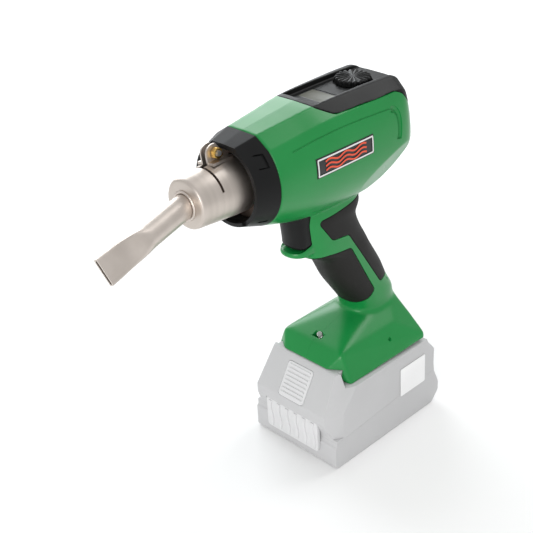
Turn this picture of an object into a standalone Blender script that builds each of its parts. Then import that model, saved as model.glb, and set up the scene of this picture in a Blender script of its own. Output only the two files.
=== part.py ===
"""Cordless hot-air tool on a slide-on battery pack, modelled piece by piece.

Frame: the pack's underside lies on Z = 0 with its centre at the origin, +Z is up and the nozzle
points along -Y.  The tool's own left side is +X.  Dimensions below are in millimetres; every mesh
is scaled to metres when it is made.
"""

import math

import bmesh
import bpy
from mathutils import Matrix, Vector

MM = 0.001

# ---------------------------------------------------------------- driving dimensions (mm)
GAP = 0.3                                  # air between neighbouring pieces
WALL = 2.6                                 # clamshell wall
AXIS_Z = 246.0                             # barrel axis above the pack's underside

COLLAR_FRONT, COLLAR_REAR = -111.0, -94.5
COLLAR_BORE, COLLAR_HOLE = 26.4, 22.5      # recess radius, and hole in its floor
BARREL_FRONT = COLLAR_REAR + GAP

SLEEVE_FRONT, SLEEVE_REAR = -146.8, -104.0
SLEEVE_NOSE_RADIUS, SLEEVE_TAIL_RADIUS = 17.5, 20.2
SLEEVE_WALL = 1.0
SLIT_Y, SLIT_WIDTH = -128.4, 1.3
EAR_LEAN = 10.0                            # degrees from +Z towards -X
EAR_INNER, EAR_THICK, EAR_TOP = 2.0, 1.2, 31.4
CLAMP_Y, CLAMP_RADIUS = -117.5, 25.3       # where the clamp screw crosses the ears

TUBE_RADIUS, TUBE_WALL = 8.3, 1.0
TUBE_ROOT_Y, TUBE_BEND_Y, TUBE_BEND_Z = -143.6, -147.0, 245.4
TUBE_LENGTH = 76.0                         # from the bend to the slot
BEND_ANGLE, BEND_TURN = 12.4, 38.0         # downward bend, turned from -Z towards +X
SLOT_WIDE, SLOT_HIGH, FLARE_LENGTH = 19.0, 3.8, 31.0
SLOT_TWIST = -11.5                         # degrees between the slot and the bend plane

HEATER_RADIUS, HEATER_FRONT, HEATER_REAR = 17.3, -133.0, -52.0
FAN_RADIUS, FAN_FRONT, FAN_REAR = 25.0, -51.5, 4.0
MOTOR_RADIUS, MOTOR_FRONT, MOTOR_REAR = 12.5, 6.0, 34.0

COVER_FLOOR, COVER_UNDERSIDE = 281.0, 277.6
DIAL_Y, DIAL_RADIUS, DIAL_BASE, DIAL_TOP = 14.0, 13.2, 280.3, 285.4
DIAL_FLUTES = 18
DIAL_PRESS = 1.0

TRIGGER_HALF, TRIGGER_TOP, TRIGGER_FOOT, TRIGGER_BACK = 11.1, 202.9, 174.9, -38.0
TRIGGER_TRAVEL = 5.0

HANDLE_WALL, GRIP_DEPTH = 3.8, 1.6
HANDLE_POWER = 2.6                         # roundness of the handle's oval

BAY_HALF, BAY_TOP = 32.0, 76.2             # the space under the foot that takes the pack
PACK_HALF, PACK_FRONT, PACK_REAR = 42.75, -60.0, 64.0
DECK_HALF, DECK_TOP = 31.4, 75.6
SHOULDER_TOP = 65.0                        # the pack beside the deck, under the foot's skirts
PACK_WALL = 2.6
CELL_RADIUS, CELL_LENGTH, CELL_PITCH = 10.6, 70.0, 21.5
BUTTON_HALF, BUTTON_REACH, BUTTON_DEEP, BUTTON_PROUD, BUTTON_TRAVEL = 13.0, 14.0, 4.3, 1.0, 2.8
SLOPE_LOW, SLOPE_HIGH = Vector((0, -64.5, 47.0)), Vector((0, -49.4, 72.0))
CORNER_HALF, CORNER_TILT = 35.5, 0.373     # where the front corners start, and their lean

# y, top, facet half-width, facet z, crease x, crease z, half-width, height of widest line, bottom
BARREL = [
    (BARREL_FRONT, 279.4, 13.3, 279.1, 24.5, 271.5, 34.5, 246.0, 211.5),
    (-66.0, 282.6, 15.3, 282.0, 26.5, 274.2, 35.4, 246.0, 203.0),
    (-40.0, 284.9, 17.2, 284.4, 28.6, 276.6, 35.9, 246.0, 199.0),
    (0.0, 285.0, 19.0, 284.6, 30.0, 277.2, 36.0, 246.0, 198.5),
    (24.0, 284.4, 20.0, 284.0, 30.0, 276.8, 35.4, 245.0, 202.0),
    (34.0, 283.6, 20.0, 283.2, 29.5, 275.5, 34.0, 243.0, 206.5),
    (40.0, 279.8, 19.3, 279.0, 26.8, 271.0, 30.8, 241.0, 211.0),
    (44.5, 270.5, 16.5, 269.5, 23.5, 264.0, 27.3, 239.0, 216.5),
    (48.2, 257.0, 12.0, 256.0, 18.0, 252.5, 21.5, 237.0, 223.0),
    (50.5, 245.5, 8.0, 245.0, 11.5, 243.0, 14.0, 236.0, 229.0),
]

BELLY_POINT, BELLY_NORMAL = Vector((21.3, 20.0, 216.5)), Vector((0.817, 0.308, -0.488))

# z, centre y, half-depth, half-width
HANDLE = [
    (214.0, -20.0, 26.0, 15.0),
    (197.0, -20.5, 30.5, 17.2),
    (187.0, -22.2, 28.2, 17.2),
    (176.0, -19.7, 29.2, 17.2),
    (166.0, -15.5, 30.5, 17.2),
    (160.0, -9.0, 27.0, 17.2),
    (154.0, -4.0, 25.0, 17.2),
    (135.0, 6.5, 25.7, 17.0),
    (120.0, 15.0, 24.0, 17.0),
    (107.0, 23.0, 23.0, 17.2),
    (96.0, 25.0, 22.0, 16.6),
]
LIP = [(177.5, -44.0, 12.0, 12.2), (174.4, -46.0, 14.2, 12.4), (170.9, -46.5, 13.6, 12.0),
       (168.4, -44.0, 9.0, 8.8)]

# corners of the foot on the +X side; the other side mirrors them
FOOT_NECK, NECK_LEAN = (101.5, 25.3, 21.3, 12.0), 0.21
FOOT_CORNERS = [
    (25.6, -35.2, 88.8), (21.6, -45.9, 75.9), (29.6, -37.0, 88.0), (33.4, -37.9, 74.3),
    (38.6, -36.5, 65.4), (30.5, 24.0, 87.5), (41.6, 45.5, 68.3), (41.0, 47.5, 71.0),
    (33.0, 49.5, 72.0),
]

# side outlines, as (y, z)
COVER_EDGE = [(-45.4, 284.2), (-38.2, 280.1), (-34.0, 278.0), (25.0, 277.0), (31.0, 274.0),
              (38.6, 265.0), (46.0, 261.0), (70.0, 261.0), (70.0, 310.0), (-45.4, 310.0)]
REAR_GRIP = [(-38.7, 196.0), (-39.9, 193.0), (-29.0, 177.0), (-12.0, 175.0), (23.0, 120.0),
             (29.0, 121.0), (70.0, 124.0), (70.0, 203.0), (12.0, 201.5)]
FRONT_GRIP = [(-60.0, 164.5), (-32.6, 165.5), (-10.0, 163.4), (16.0, 116.0), (10.0, 110.5),
              (0.0, 107.5), (-10.0, 107.5), (-60.0, 114.0)]

# screws that hold the two halves together, as (y, z)
SCREWS = [(-80.0, 221.0), (40.0, 246.0), (-28.0, 208.5), (31.0, 116.0), (-14.6, 83.3), (39.0, 83.3)]
BOSS_RADIUS, SCREW_HOLE, SCREW_SHANK, SCREW_HEAD = 3.4, 1.65, 1.3, 2.6


# ---------------------------------------------------------------- scene and materials
def clear_scene():
    for item in list(bpy.data.objects):
        bpy.data.objects.remove(item, do_unlink=True)


def new_collection(name):
    group = bpy.data.collections.new(name)
    bpy.context.scene.collection.children.link(group)
    return group


def material(name, colour, roughness=0.5, metallic=0.0):
    made = bpy.data.materials.new(name)
    made.use_nodes = True
    shader = made.node_tree.nodes["Principled BSDF"]
    shader.inputs["Base Color"].default_value = (*colour, 1.0)
    shader.inputs["Roughness"].default_value = roughness
    shader.inputs["Metallic"].default_value = metallic
    made.diffuse_color = (*colour, 1.0)
    return made


clear_scene()
PARTS = new_collection("hot_air_tool")
CUTTERS = new_collection("cutters")

GREEN = material("green_housing_plastic", (0.03, 0.26, 0.06), 0.38)
BLACK = material("black_housing_plastic", (0.015, 0.016, 0.017), 0.5)
RUBBER = material("grip_rubber", (0.02, 0.02, 0.02), 0.75)
STEEL = material("satin_steel", (0.50, 0.46, 0.42), 0.32, 1.0)
BRASS = material("brass", (0.75, 0.50, 0.18), 0.3, 1.0)
SCREW_STEEL = material("screw_steel", (0.42, 0.42, 0.43), 0.35, 1.0)
DARK_STEEL = material("heat_tinted_steel", (0.10, 0.09, 0.085), 0.5, 1.0)
MICA = material("mica", (0.62, 0.55, 0.42), 0.6)
CERAMIC = material("ceramic", (0.80, 0.76, 0.68), 0.7)
HEATER_WIRE = material("heater_wire", (0.30, 0.26, 0.23), 0.5, 1.0)
BOARD = material("circuit_board", (0.02, 0.10, 0.05), 0.5)
LENS = material("display_window", (0.42, 0.43, 0.38), 0.2)
DARK_PLASTIC = material("dark_inner_plastic", (0.05, 0.05, 0.055), 0.6)
PALE_PLASTIC = material("pale_inner_plastic", (0.70, 0.70, 0.66), 0.55)
COPPER = material("copper", (0.70, 0.35, 0.20), 0.35, 1.0)
FOAM = material("filter_mesh", (0.06, 0.06, 0.06), 0.8)
PACK_GREY = material("pack_grey_plastic", (0.52, 0.52, 0.53), 0.5)
PACK_PALE = material("pack_pale_plastic", (0.62, 0.62, 0.63), 0.5)
CELL_SKIN = material("cell_sleeve", (0.10, 0.28, 0.45), 0.4)
LABEL_INK = material("label_dark", (0.02, 0.02, 0.02), 0.35)
LABEL_WHITE = material("label_white", (0.80, 0.80, 0.80), 0.4)
CLEAR = material("lamp_lens", (0.75, 0.78, 0.75), 0.1)


# ---------------------------------------------------------------- making meshes
def as_object(bm, name, surface=None, hidden=False):
    """Turns a bmesh in millimetres into an object in metres, faces out."""
    bmesh.ops.recalc_face_normals(bm, faces=bm.faces)
    bmesh.ops.scale(bm, vec=(MM, MM, MM), verts=bm.verts)
    mesh = bpy.data.meshes.new(name)
    bm.to_mesh(mesh)
    bm.free()
    made = bpy.data.objects.new(name, mesh)
    (CUTTERS if hidden else PARTS).objects.link(made)
    if surface:
        mesh.materials.append(surface)
    if hidden:
        made.hide_render = True
        made.display_type = "WIRE"
    return made


def box(name, low, high, surface=None, hidden=False, turn=None):
    """A box between two corners; turn = (axis, degrees, centre) turns it afterwards."""
    bm = bmesh.new()
    bmesh.ops.create_cube(bm, size=1.0)
    size = [high[i] - low[i] for i in range(3)]
    middle = [(high[i] + low[i]) / 2 for i in range(3)]
    bmesh.ops.scale(bm, vec=size, verts=bm.verts)
    bmesh.ops.translate(bm, vec=middle, verts=bm.verts)
    if turn:
        axis, degrees, centre = turn
        bmesh.ops.rotate(bm, cent=centre, verts=bm.verts,
                         matrix=Matrix.Rotation(math.radians(degrees), 3, axis))
    return as_object(bm, name, surface, hidden)


def rod(name, start, end, radius, surface=None, hidden=False, sides=24, end_radius=None):
    """A cylinder or cone between two points."""
    start, end = Vector(start), Vector(end)
    along = end - start
    bm = bmesh.new()
    bmesh.ops.create_cone(bm, cap_ends=True, segments=sides, radius1=radius,
                          radius2=radius if end_radius is None else end_radius, depth=along.length)
    turn = Vector((0, 0, 1)).rotation_difference(along.normalized()).to_matrix()
    bmesh.ops.rotate(bm, cent=(0, 0, 0), matrix=turn, verts=bm.verts)
    bmesh.ops.translate(bm, vec=(start + end) / 2, verts=bm.verts)
    return as_object(bm, name, surface, hidden)


def loft(name, rings, surface=None, hidden=False, closed=False):
    """Skins rings of equal length; closed joins the last ring to the first, else caps the ends."""
    bm = bmesh.new()
    rows = [[bm.verts.new(point) for point in ring] for ring in rings]
    count = len(rows[0])
    pairs = list(zip(rows, rows[1:]))
    if closed:
        pairs.append((rows[-1], rows[0]))
    for first, second in pairs:
        for i in range(count):
            j = (i + 1) % count
            bm.faces.new((first[i], first[j], second[j], second[i]))
    if not closed:
        bm.faces.new(rows[0])
        bm.faces.new(rows[-1])
    return as_object(bm, name, surface, hidden)


def slab(name, outline, start, end, surface=None, hidden=False):
    """A side outline of (y, z) points extruded from x = start to x = end."""
    rings = [[(x, y, z) for y, z in outline] for x in (start, end)]
    return loft(name, rings, surface, hidden)


def turned(name, profile, surface=None, hidden=False, steps=32):
    """A closed (radius, y) profile turned about the barrel axis with a Screw modifier.

    The profile runs down the outside and back up the inside, seen with +Y as up.
    """
    mesh = bpy.data.meshes.new(name)
    points = [(radius * MM, 0.0, y * MM) for radius, y in profile]
    edges = [(i, (i + 1) % len(points)) for i in range(len(points))]
    mesh.from_pydata(points, edges, [])
    made = bpy.data.objects.new(name, mesh)
    (CUTTERS if hidden else PARTS).objects.link(made)
    screw = made.modifiers.new("turn", "SCREW")
    screw.steps = steps
    screw.render_steps = steps
    screw.use_merge_vertices = True
    screw.merge_threshold = 0.00001
    bake(made)
    # the profile's height becomes +Y, on the barrel axis
    made.data.transform(Matrix.Translation((0, 0, AXIS_Z * MM)) @ Matrix.Rotation(-math.pi / 2, 4, "X"))
    face_out(made.data)
    if surface:
        made.data.materials.append(surface)
    if hidden:
        made.hide_render = True
        made.display_type = "WIRE"
    return made


def face_out(mesh):
    bm = bmesh.new()
    bm.from_mesh(mesh)
    bmesh.ops.remove_doubles(bm, verts=bm.verts, dist=0.000001)
    bmesh.ops.recalc_face_normals(bm, faces=bm.faces)
    bm.to_mesh(mesh)
    bm.free()


def bake(item):
    """Replaces an object's mesh by what its modifiers make of it."""
    depsgraph = bpy.context.evaluated_depsgraph_get()
    result = bpy.data.meshes.new_from_object(item.evaluated_get(depsgraph))
    old = item.data
    item.modifiers.clear()
    item.data = result
    bpy.data.meshes.remove(old)


def combine(target, tool, operation="DIFFERENCE"):
    """One exact Boolean, applied at once; the tool is used up."""
    modifier = target.modifiers.new(operation.lower(), "BOOLEAN")
    modifier.operation = operation
    modifier.solver = "EXACT"
    modifier.object = tool
    bake(target)
    bpy.data.objects.remove(tool, do_unlink=True)
    return target


def cut(target, *tools):
    for tool in tools:
        combine(target, tool)
    return target


def join(target, *others):
    for other in others:
        combine(target, other, "UNION")
    return target


def copy_of(item, name, surface=None, hidden=False):
    made = bpy.data.objects.new(name, item.data.copy())
    (CUTTERS if hidden else PARTS).objects.link(made)
    made.data.materials.clear()
    if surface:
        made.data.materials.append(surface)
    if hidden:
        made.hide_render = True
        made.display_type = "WIRE"
    return made


def set_origin(item, point):
    """Moves an object's origin to a point given in millimetres, without moving its mesh."""
    place = Vector(point) * MM
    item.data.transform(Matrix.Translation(-place))
    item.location = place


def coil(name, start, end, radius, wire, turns, surface, points_per_turn=12):
    """A helix of round wire between two points."""
    start, end = Vector(start), Vector(end)
    turn = Vector((0, 0, 1)).rotation_difference((end - start).normalized()).to_matrix()
    count = turns * points_per_turn
    curve = bpy.data.curves.new(name, "CURVE")
    curve.dimensions = "3D"
    curve.bevel_depth = wire * MM
    curve.bevel_resolution = 1
    curve.use_fill_caps = True
    spline = curve.splines.new("POLY")
    spline.points.add(count)
    for i, point in enumerate(spline.points):
        angle = 2 * math.pi * i / points_per_turn
        local = Vector((radius * math.cos(angle), radius * math.sin(angle),
                        (end - start).length * i / count))
        point.co = (*((start + turn @ local) * MM), 1.0)
    made = bpy.data.objects.new(name, curve)
    PARTS.objects.link(made)
    curve.materials.append(surface)
    return made


# ---------------------------------------------------------------- section curves
def barrel_ring(station, inset=0.0):
    """One cross-section of the barrel, a faceted top over a round belly, shrunk by inset."""
    y, top, facet_half, facet_z, crease_x, crease_z, half, middle, bottom = station
    upper = (crease_z - middle) / math.sqrt(1 - (crease_x / half) ** 2)
    crease_angle = math.acos(crease_x / half)
    side = [(0.0, top), (facet_half, facet_z)]
    for step in range(3):
        angle = crease_angle * (1 - step / 3)
        side.append((half * math.cos(angle), middle + upper * math.sin(angle)))
    for step in range(5):
        angle = -math.pi / 2 * step / 4
        side.append((half * math.cos(angle), middle + (middle - bottom) * math.sin(angle)))
    ring = side + [(-x, z) for x, z in reversed(side[1:-1])]
    shrunk = []
    for x, z in ring:
        reach = math.hypot(x, z - middle)
        factor = max(0.1, 1 - inset / reach)
        shrunk.append((x * factor, y, middle + (z - middle) * factor))
    return shrunk


def barrel_solid(name, inset=0.0, front=None, rear_trim=0.0):
    stations = [list(s) for s in BARREL]
    if front is not None:
        stations[0][0] = front
    stations[-1][0] -= rear_trim
    rings = [barrel_ring(s, inset) for s in stations]
    form = loft(name, rings, hidden=True)
    cut(form, belly_block("belly_right", -1, inset), belly_block("belly_left", 1, inset))
    return form


def belly_block(name, side, inset):
    """Everything outside the flat under the barrel's rear."""
    normal = Vector((side * BELLY_NORMAL.x, BELLY_NORMAL.y, BELLY_NORMAL.z)).normalized()
    point = Vector((side * BELLY_POINT.x, BELLY_POINT.y, BELLY_POINT.z)) - normal * inset
    across = normal.cross(Vector((0, 0, 1))).normalized()
    up = across.cross(normal)
    rings = []
    for reach in (0, 60):
        rings.append([point + normal * reach + across * a + up * b
                      for a, b in ((-60, -60), (60, -60), (60, 60), (-60, 60))])
    return loft(name, rings, hidden=True)


def oval(z, centre, depth, half, power=HANDLE_POWER, count=20):
    """A level superellipse."""
    ring = []
    for i in range(count):
        angle = 2 * math.pi * i / count
        c, s = math.cos(angle), math.sin(angle)
        x = math.copysign(abs(c) ** (2 / power), c) * half
        y = math.copysign(abs(s) ** (2 / power), s) * depth
        ring.append((x, centre + y, z))
    return ring


def handle_solid(name, inset=0.0):
    return loft(name, [oval(z, c, d - inset, h - inset) for z, c, d, h in HANDLE], hidden=True)


def foot_solid(name):
    """The foot is the convex hull of a leaning oval inside the handle and the foot's corners."""
    bm = bmesh.new()
    for x, y, z in oval(*FOOT_NECK):
        bm.verts.new((x, y, z + (y - FOOT_NECK[1]) * NECK_LEAN))
    for x, y, z in FOOT_CORNERS:
        bm.verts.new((x, y, z))
        bm.verts.new((-x, y, z))
    hull = bmesh.ops.convex_hull(bm, input=bm.verts)
    bmesh.ops.delete(bm, geom=hull["geom_interior"], context="VERTS")
    return as_object(bm, name, hidden=True)


# ---------------------------------------------------------------- clamshell, cover, grips
def make_shells():
    outer = barrel_solid("outer")
    join(outer, handle_solid("handle"),
         loft("lip", [oval(*ring, power=2.2) for ring in LIP], hidden=True), foot_solid("foot"))

    hollow = barrel_solid("hollow", WALL, front=BARREL_FRONT - 3.0, rear_trim=WALL)
    join(hollow, handle_solid("handle_hollow", HANDLE_WALL),
         box("foot_hollow", (-24, -22, BAY_TOP - 6), (24, 44, 87.5), hidden=True))

    shell = outer
    combine(shell, hollow)
    for i, (y, z) in enumerate(SCREWS):
        boss = rod(f"boss_{i}", (-60, y, z), (60, y, z), BOSS_RADIUS, hidden=True, sides=12)
        inside = barrel_solid("inside", 1.0) if z > 200 else handle_or_foot("inside")
        combine(boss, inside, "INTERSECT")
        join(shell, boss)

    cut(shell,
        box("bay", (-BAY_HALF, -80, 40), (BAY_HALF, 80, BAY_TOP), hidden=True),
        box("trigger_slot", (-TRIGGER_HALF - 0.4, -80, TRIGGER_FOOT - 0.4),
            (TRIGGER_HALF + 0.4, -31.5, TRIGGER_TOP + 0.5), hidden=True),
        slab("cover_space", [(y, z - GAP) if z < 300 else (y, z) for y, z in COVER_EDGE], -60, 60,
             hidden=True))
    for side in (-1, 1):
        low, high = sorted((side * 27, side * 50))
        cut(shell, box("inlet", (low, 24.2, 238), (high, 29.4, 266), hidden=True,
                       turn=("X", 19.5, (0, 26.8, 252))))
        cut(shell, rod("pin_hole", (side * 34, 12, 80), (side * 60, 12, 80), 1.2, hidden=True, sides=12))
    cut(shell, rod("lamp_hole", (0, -24.6, 79.4), (0, -31.5, 96.0), 2.6, hidden=True, sides=16))

    for outline in (REAR_GRIP, FRONT_GRIP):
        wide = slab("grip_space", grown(outline, GAP), -40, 40, hidden=True)
        cut(wide, handle_solid("grip_bed", GRIP_DEPTH + GAP), barrel_solid("barrel_keep", 0.25),
            loft("lip_keep", [oval(*ring, power=2.2) for ring in LIP], hidden=True))
        combine(shell, wide)

    for y, z in SCREWS:
        edge = shell_side(y, z)
        cut(shell, rod("shank_hole", (-60, y, z), (10, y, z), SCREW_HOLE, hidden=True, sides=12),
            rod("head_hole", (-60, y, z), (-edge + 4.0, y, z), SCREW_HEAD + 0.4, hidden=True, sides=16))

    right = copy_of(shell, "housing_right", GREEN)
    left = copy_of(shell, "housing_left", GREEN)
    bpy.data.objects.remove(shell, do_unlink=True)
    cut(left, box("split", (-80, -150, 0), (0.15, 100, 330), hidden=True))
    cut(right, box("split", (-0.15, -150, 0), (80, 100, 330), hidden=True))


def handle_or_foot(name):
    made = handle_solid(name, 1.0)
    return join(made, foot_solid("foot_again"))


def grown(outline, amount):
    """Offsets a closed outline outwards by amount, keeping its corners sharp."""
    area = sum(y0 * z1 - y1 * z0 for (y0, z0), (y1, z1) in zip(outline, outline[1:] + outline[:1]))
    turn = 1 if area > 0 else -1
    normals = []
    for (y0, z0), (y1, z1) in zip(outline, outline[1:] + outline[:1]):
        length = math.hypot(y1 - y0, z1 - z0)
        normals.append((turn * (z1 - z0) / length, -turn * (y1 - y0) / length))
    made = []
    for i, (y, z) in enumerate(outline):
        (ay, az), (by, bz) = normals[i - 1], normals[i]
        scale = amount / (1 + ay * by + az * bz)
        made.append((y + (ay + by) * scale, z + (az + bz) * scale))
    return made


def shell_side(y, z):
    """Half-width of the outside at a screw: barrel, handle or foot."""
    if z > 200:
        lower = max((s for s in BARREL if s[0] <= y), key=lambda s: s[0])
        upper = min((s for s in BARREL if s[0] > y), key=lambda s: s[0])
        t = (y - lower[0]) / (upper[0] - lower[0])
        half, middle, bottom = (lower[k] + t * (upper[k] - lower[k]) for k in (6, 7, 8))
        return half * math.sqrt(max(0.0, 1 - ((middle - z) / (middle - bottom)) ** 2))
    if z > 106:
        return HANDLE[-2][3] - 2.0
    return 31.5


def make_grips():
    for name, outline in (("grip_rear", REAR_GRIP), ("grip_front", FRONT_GRIP)):
        pad = slab(name, outline, -40, 40, RUBBER)
        combine(pad, handle_solid("handle_skin"), "INTERSECT")
        cut(pad, handle_solid("pad_bed", GRIP_DEPTH), barrel_solid("barrel_keep", -GAP),
            loft("lip_keep", [oval(z, c, d + GAP, h + GAP, power=2.2) for z, c, d, h in LIP], hidden=True))


def make_cover():
    cover = slab("top_cover", COVER_EDGE, -60, 60, BLACK)
    combine(cover, barrel_solid("cover_skin"), "INTERSECT")
    under = barrel_solid("cover_under", WALL, rear_trim=WALL)
    combine(under, box("below_floor", (-60, -120, 200), (60, 60, COVER_UNDERSIDE), hidden=True), "INTERSECT")
    cut(cover, under,
        box("tray", (-15.6, -40, COVER_FLOOR), (15.6, 80, 300), hidden=True),
        box("window", (-11.3, -28.5, 270), (11.3, -13.7, 300), hidden=True),
        rod("dial_recess", (0, DIAL_Y, DIAL_BASE - DIAL_PRESS - GAP), (0, DIAL_Y, 300), DIAL_RADIUS + 0.8,
            hidden=True, sides=36),
        rod("plunger_hole", (0, DIAL_Y, 270), (0, DIAL_Y, 300), 3.4, hidden=True, sides=16))
    box("display_lens", (-11, -28.2, 279.2), (11, -14, 280.8), LENS)
    box("display_module", (-14, -31, 273.8), (14, -11, 277.2), DARK_PLASTIC)
    box("control_board", (-19, -38, 271.8), (19, 26, 273.4), BOARD)


def make_dial():
    """Turn-and-press knob: the plunger slides, the knob turns on it."""
    body = box("encoder_body", (-6.5, DIAL_Y - 6.5, 273.8), (6.5, DIAL_Y + 6.5, 277.2), DARK_PLASTIC)
    cut(body, rod("bore", (0, DIAL_Y, 270), (0, DIAL_Y, 290), 3.3, hidden=True, sides=16))
    plunger = rod("encoder_plunger", (0, DIAL_Y, 275.0), (0, DIAL_Y, 282.8), 2.9, SCREW_STEEL, sides=16)
    set_origin(plunger, (0, DIAL_Y, 275.0))

    def knob_ring(z, radius, flute):
        count = DIAL_FLUTES * 4
        ring = []
        for i in range(count):
            angle = 2 * math.pi * i / count
            reach = radius - flute * (1 if i % 4 in (0, 1) else 0)
            ring.append((reach * math.cos(angle), DIAL_Y + reach * math.sin(angle), z))
        return ring

    knob = loft("temperature_dial", [
        knob_ring(DIAL_BASE, DIAL_RADIUS, 1.2), knob_ring(DIAL_TOP - 1.6, DIAL_RADIUS, 1.2),
        knob_ring(DIAL_TOP, DIAL_RADIUS - 1.8, 1.0)], BLACK)
    cut(knob, rod("knob_bore", (0, DIAL_Y, 275), (0, DIAL_Y, 283.2), 3.2, hidden=True, sides=16))
    set_origin(knob, (0, DIAL_Y, DIAL_BASE))


def make_labels():
    for name, side in (("label_plate_left", 1), ("label_plate_right", -1)):
        low, high = sorted((side * 20, side * 50))
        plate = box(name, (low, -62, 243), (high, -6, 257), LABEL_INK)
        combine(plate, barrel_solid("label_skin", -0.8), "INTERSECT")
        combine(plate, barrel_solid("label_bed", -0.3))


def make_collar():
    rear = (COLLAR_REAR,) + BARREL[0][1:]
    front = (COLLAR_FRONT, 275.6, 10.7, 275.3, 20.8, 266.8, 29.3, AXIS_Z, 217.0)
    collar = loft("front_collar", [barrel_ring(front), barrel_ring(rear)], BLACK)
    cut(collar,
        rod("recess", (0, -130, AXIS_Z), (0, -97.3, AXIS_Z), COLLAR_BORE, hidden=True, sides=40),
        rod("floor_hole", (0, -130, AXIS_Z), (0, -80, AXIS_Z), COLLAR_HOLE, hidden=True, sides=32),
        box("rim_notch", (12.5, -120, 216), (17.0, -108.8, 228), hidden=True))
    turned("heat_shield_ring", [(26.1, -97.6), (26.1, -98.9), (18.6, -98.9), (18.6, -97.6)], DARK_STEEL)


# ---------------------------------------------------------------- nozzle
def lean_frame():
    """Directions at the clamp: away from the axis, and across the ears."""
    lean = math.radians(EAR_LEAN)
    return Vector((-math.sin(lean), 0, math.cos(lean))), Vector((math.cos(lean), 0, math.sin(lean)))


def clamp_point(across):
    away, side = lean_frame()
    return Vector((0, CLAMP_Y, AXIS_Z)) + away * CLAMP_RADIUS + side * across


def make_sleeve():
    inner_nose = SLEEVE_NOSE_RADIUS - SLEEVE_WALL
    sleeve = turned("nozzle_sleeve", [
        (SLEEVE_TAIL_RADIUS, SLEEVE_REAR), (20.0, -112.0), (18.7, -130.0),
        (SLEEVE_NOSE_RADIUS, SLEEVE_FRONT + 0.8), (SLEEVE_NOSE_RADIUS - 0.8, SLEEVE_FRONT),
        (5.0, SLEEVE_FRONT), (5.0, SLEEVE_FRONT + 1.2),
        (inner_nose, SLEEVE_FRONT + 1.2), (17.7, -130.0), (19.0, -112.0),
        (SLEEVE_TAIL_RADIUS - SLEEVE_WALL, SLEEVE_REAR)], STEEL, steps=40)
    away, side = lean_frame()
    centre = Vector((0, 0, AXIS_Z))
    outline = [(-124.6, 19.0), (-124.6, 25.0)]
    for step in range(5):
        angle = math.radians(180 - 26 * step)
        outline.append((-117.6 + 7.0 * math.cos(angle), 25.0 + (EAR_TOP - 25.0) * math.sin(angle)))
    outline += [(-111.6, 26.0), (-107.5, 24.5), (-106.5, 19.0)]
    foot = [(-124.0, 19.0), (-124.0, 20.9), (-107.0, 20.9), (-107.0, 19.0)]
    for sign in (-1, 1):
        for shape, near, far in ((outline, EAR_INNER, EAR_INNER + EAR_THICK), (foot, EAR_INNER, 8.0)):
            rings = []
            for across in (near, far):
                rings.append([centre + away * (r - 0.09 * (across - near) * (shape is foot))
                              + side * (sign * across) + Vector((0, y, 0)) for y, r in shape])
            join(sleeve, loft("ear", rings, hidden=True))
    gap_rings = []
    for y in (SLIT_Y, -95.0):
        gap_rings.append([centre + away * r + side * t + Vector((0, y, 0))
                          for r, t in ((15, -EAR_INNER), (15, EAR_INNER), (23, EAR_INNER), (23, -EAR_INNER))])
    slit = (SLIT_Y - SLIT_WIDTH / 2, SLIT_Y + SLIT_WIDTH / 2)
    cut(sleeve, loft("clamp_gap", gap_rings, hidden=True),
        box("slit_near", (-4, slit[0], AXIS_Z + 7), (30, slit[1], AXIS_Z + 40), hidden=True),
        box("slit_far", (-15, slit[0], AXIS_Z + 10), (0, slit[1], AXIS_Z + 40), hidden=True),
        rod("screw_hole", clamp_point(-10), clamp_point(10), 2.3, hidden=True, sides=16),
        rod("tube_hole", (0, SLEEVE_FRONT - 5, TUBE_BEND_Z), (0, SLEEVE_FRONT + 3, TUBE_BEND_Z), TUBE_RADIUS,
            hidden=True, sides=32))
    set_origin(sleeve, (0, SLEEVE_FRONT, AXIS_Z))
    return sleeve


def make_clamp_hardware():
    screw = rod("clamp_screw", clamp_point(-4.0), clamp_point(8.2), 1.9, SCREW_STEEL, sides=16)
    join(screw, rod("head", clamp_point(-6.6), clamp_point(-3.6), 3.5, hidden=True, sides=20))
    set_origin(screw, clamp_point(0))
    nut = rod("clamp_nut", clamp_point(3.6), clamp_point(6.8), 4.05, BRASS, sides=6)
    cut(nut, rod("nut_bore", clamp_point(0), clamp_point(10), 2.25, hidden=True, sides=16))
    set_origin(nut, clamp_point(0))


def tube_frame():
    """Start of the bend, direction of the tube, and the slot's wide and thin directions."""
    bend, turn = math.radians(BEND_ANGLE), math.radians(BEND_TURN)
    down = Vector((math.sin(turn), 0, -math.cos(turn)))
    along = Vector((0, -math.cos(bend), 0)) + down * math.sin(bend)
    wide = Matrix.Rotation(math.radians(SLOT_TWIST), 3, along) @ (
        down * math.cos(bend) + Vector((0, math.sin(bend), 0)))
    return Vector((0, TUBE_BEND_Y, TUBE_BEND_Z)), along, wide, along.cross(wide)


def tube_ring(centre, wide, thin, half_wide, half_thin, power, count=24):
    ring = []
    for i in range(count):
        angle = 2 * math.pi * i / count
        c, s = math.cos(angle), math.sin(angle)
        ring.append(centre + wide * math.copysign(abs(c) ** (2 / power), c) * half_wide
                    + thin * math.copysign(abs(s) ** (2 / power), s) * half_thin)
    return ring


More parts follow.
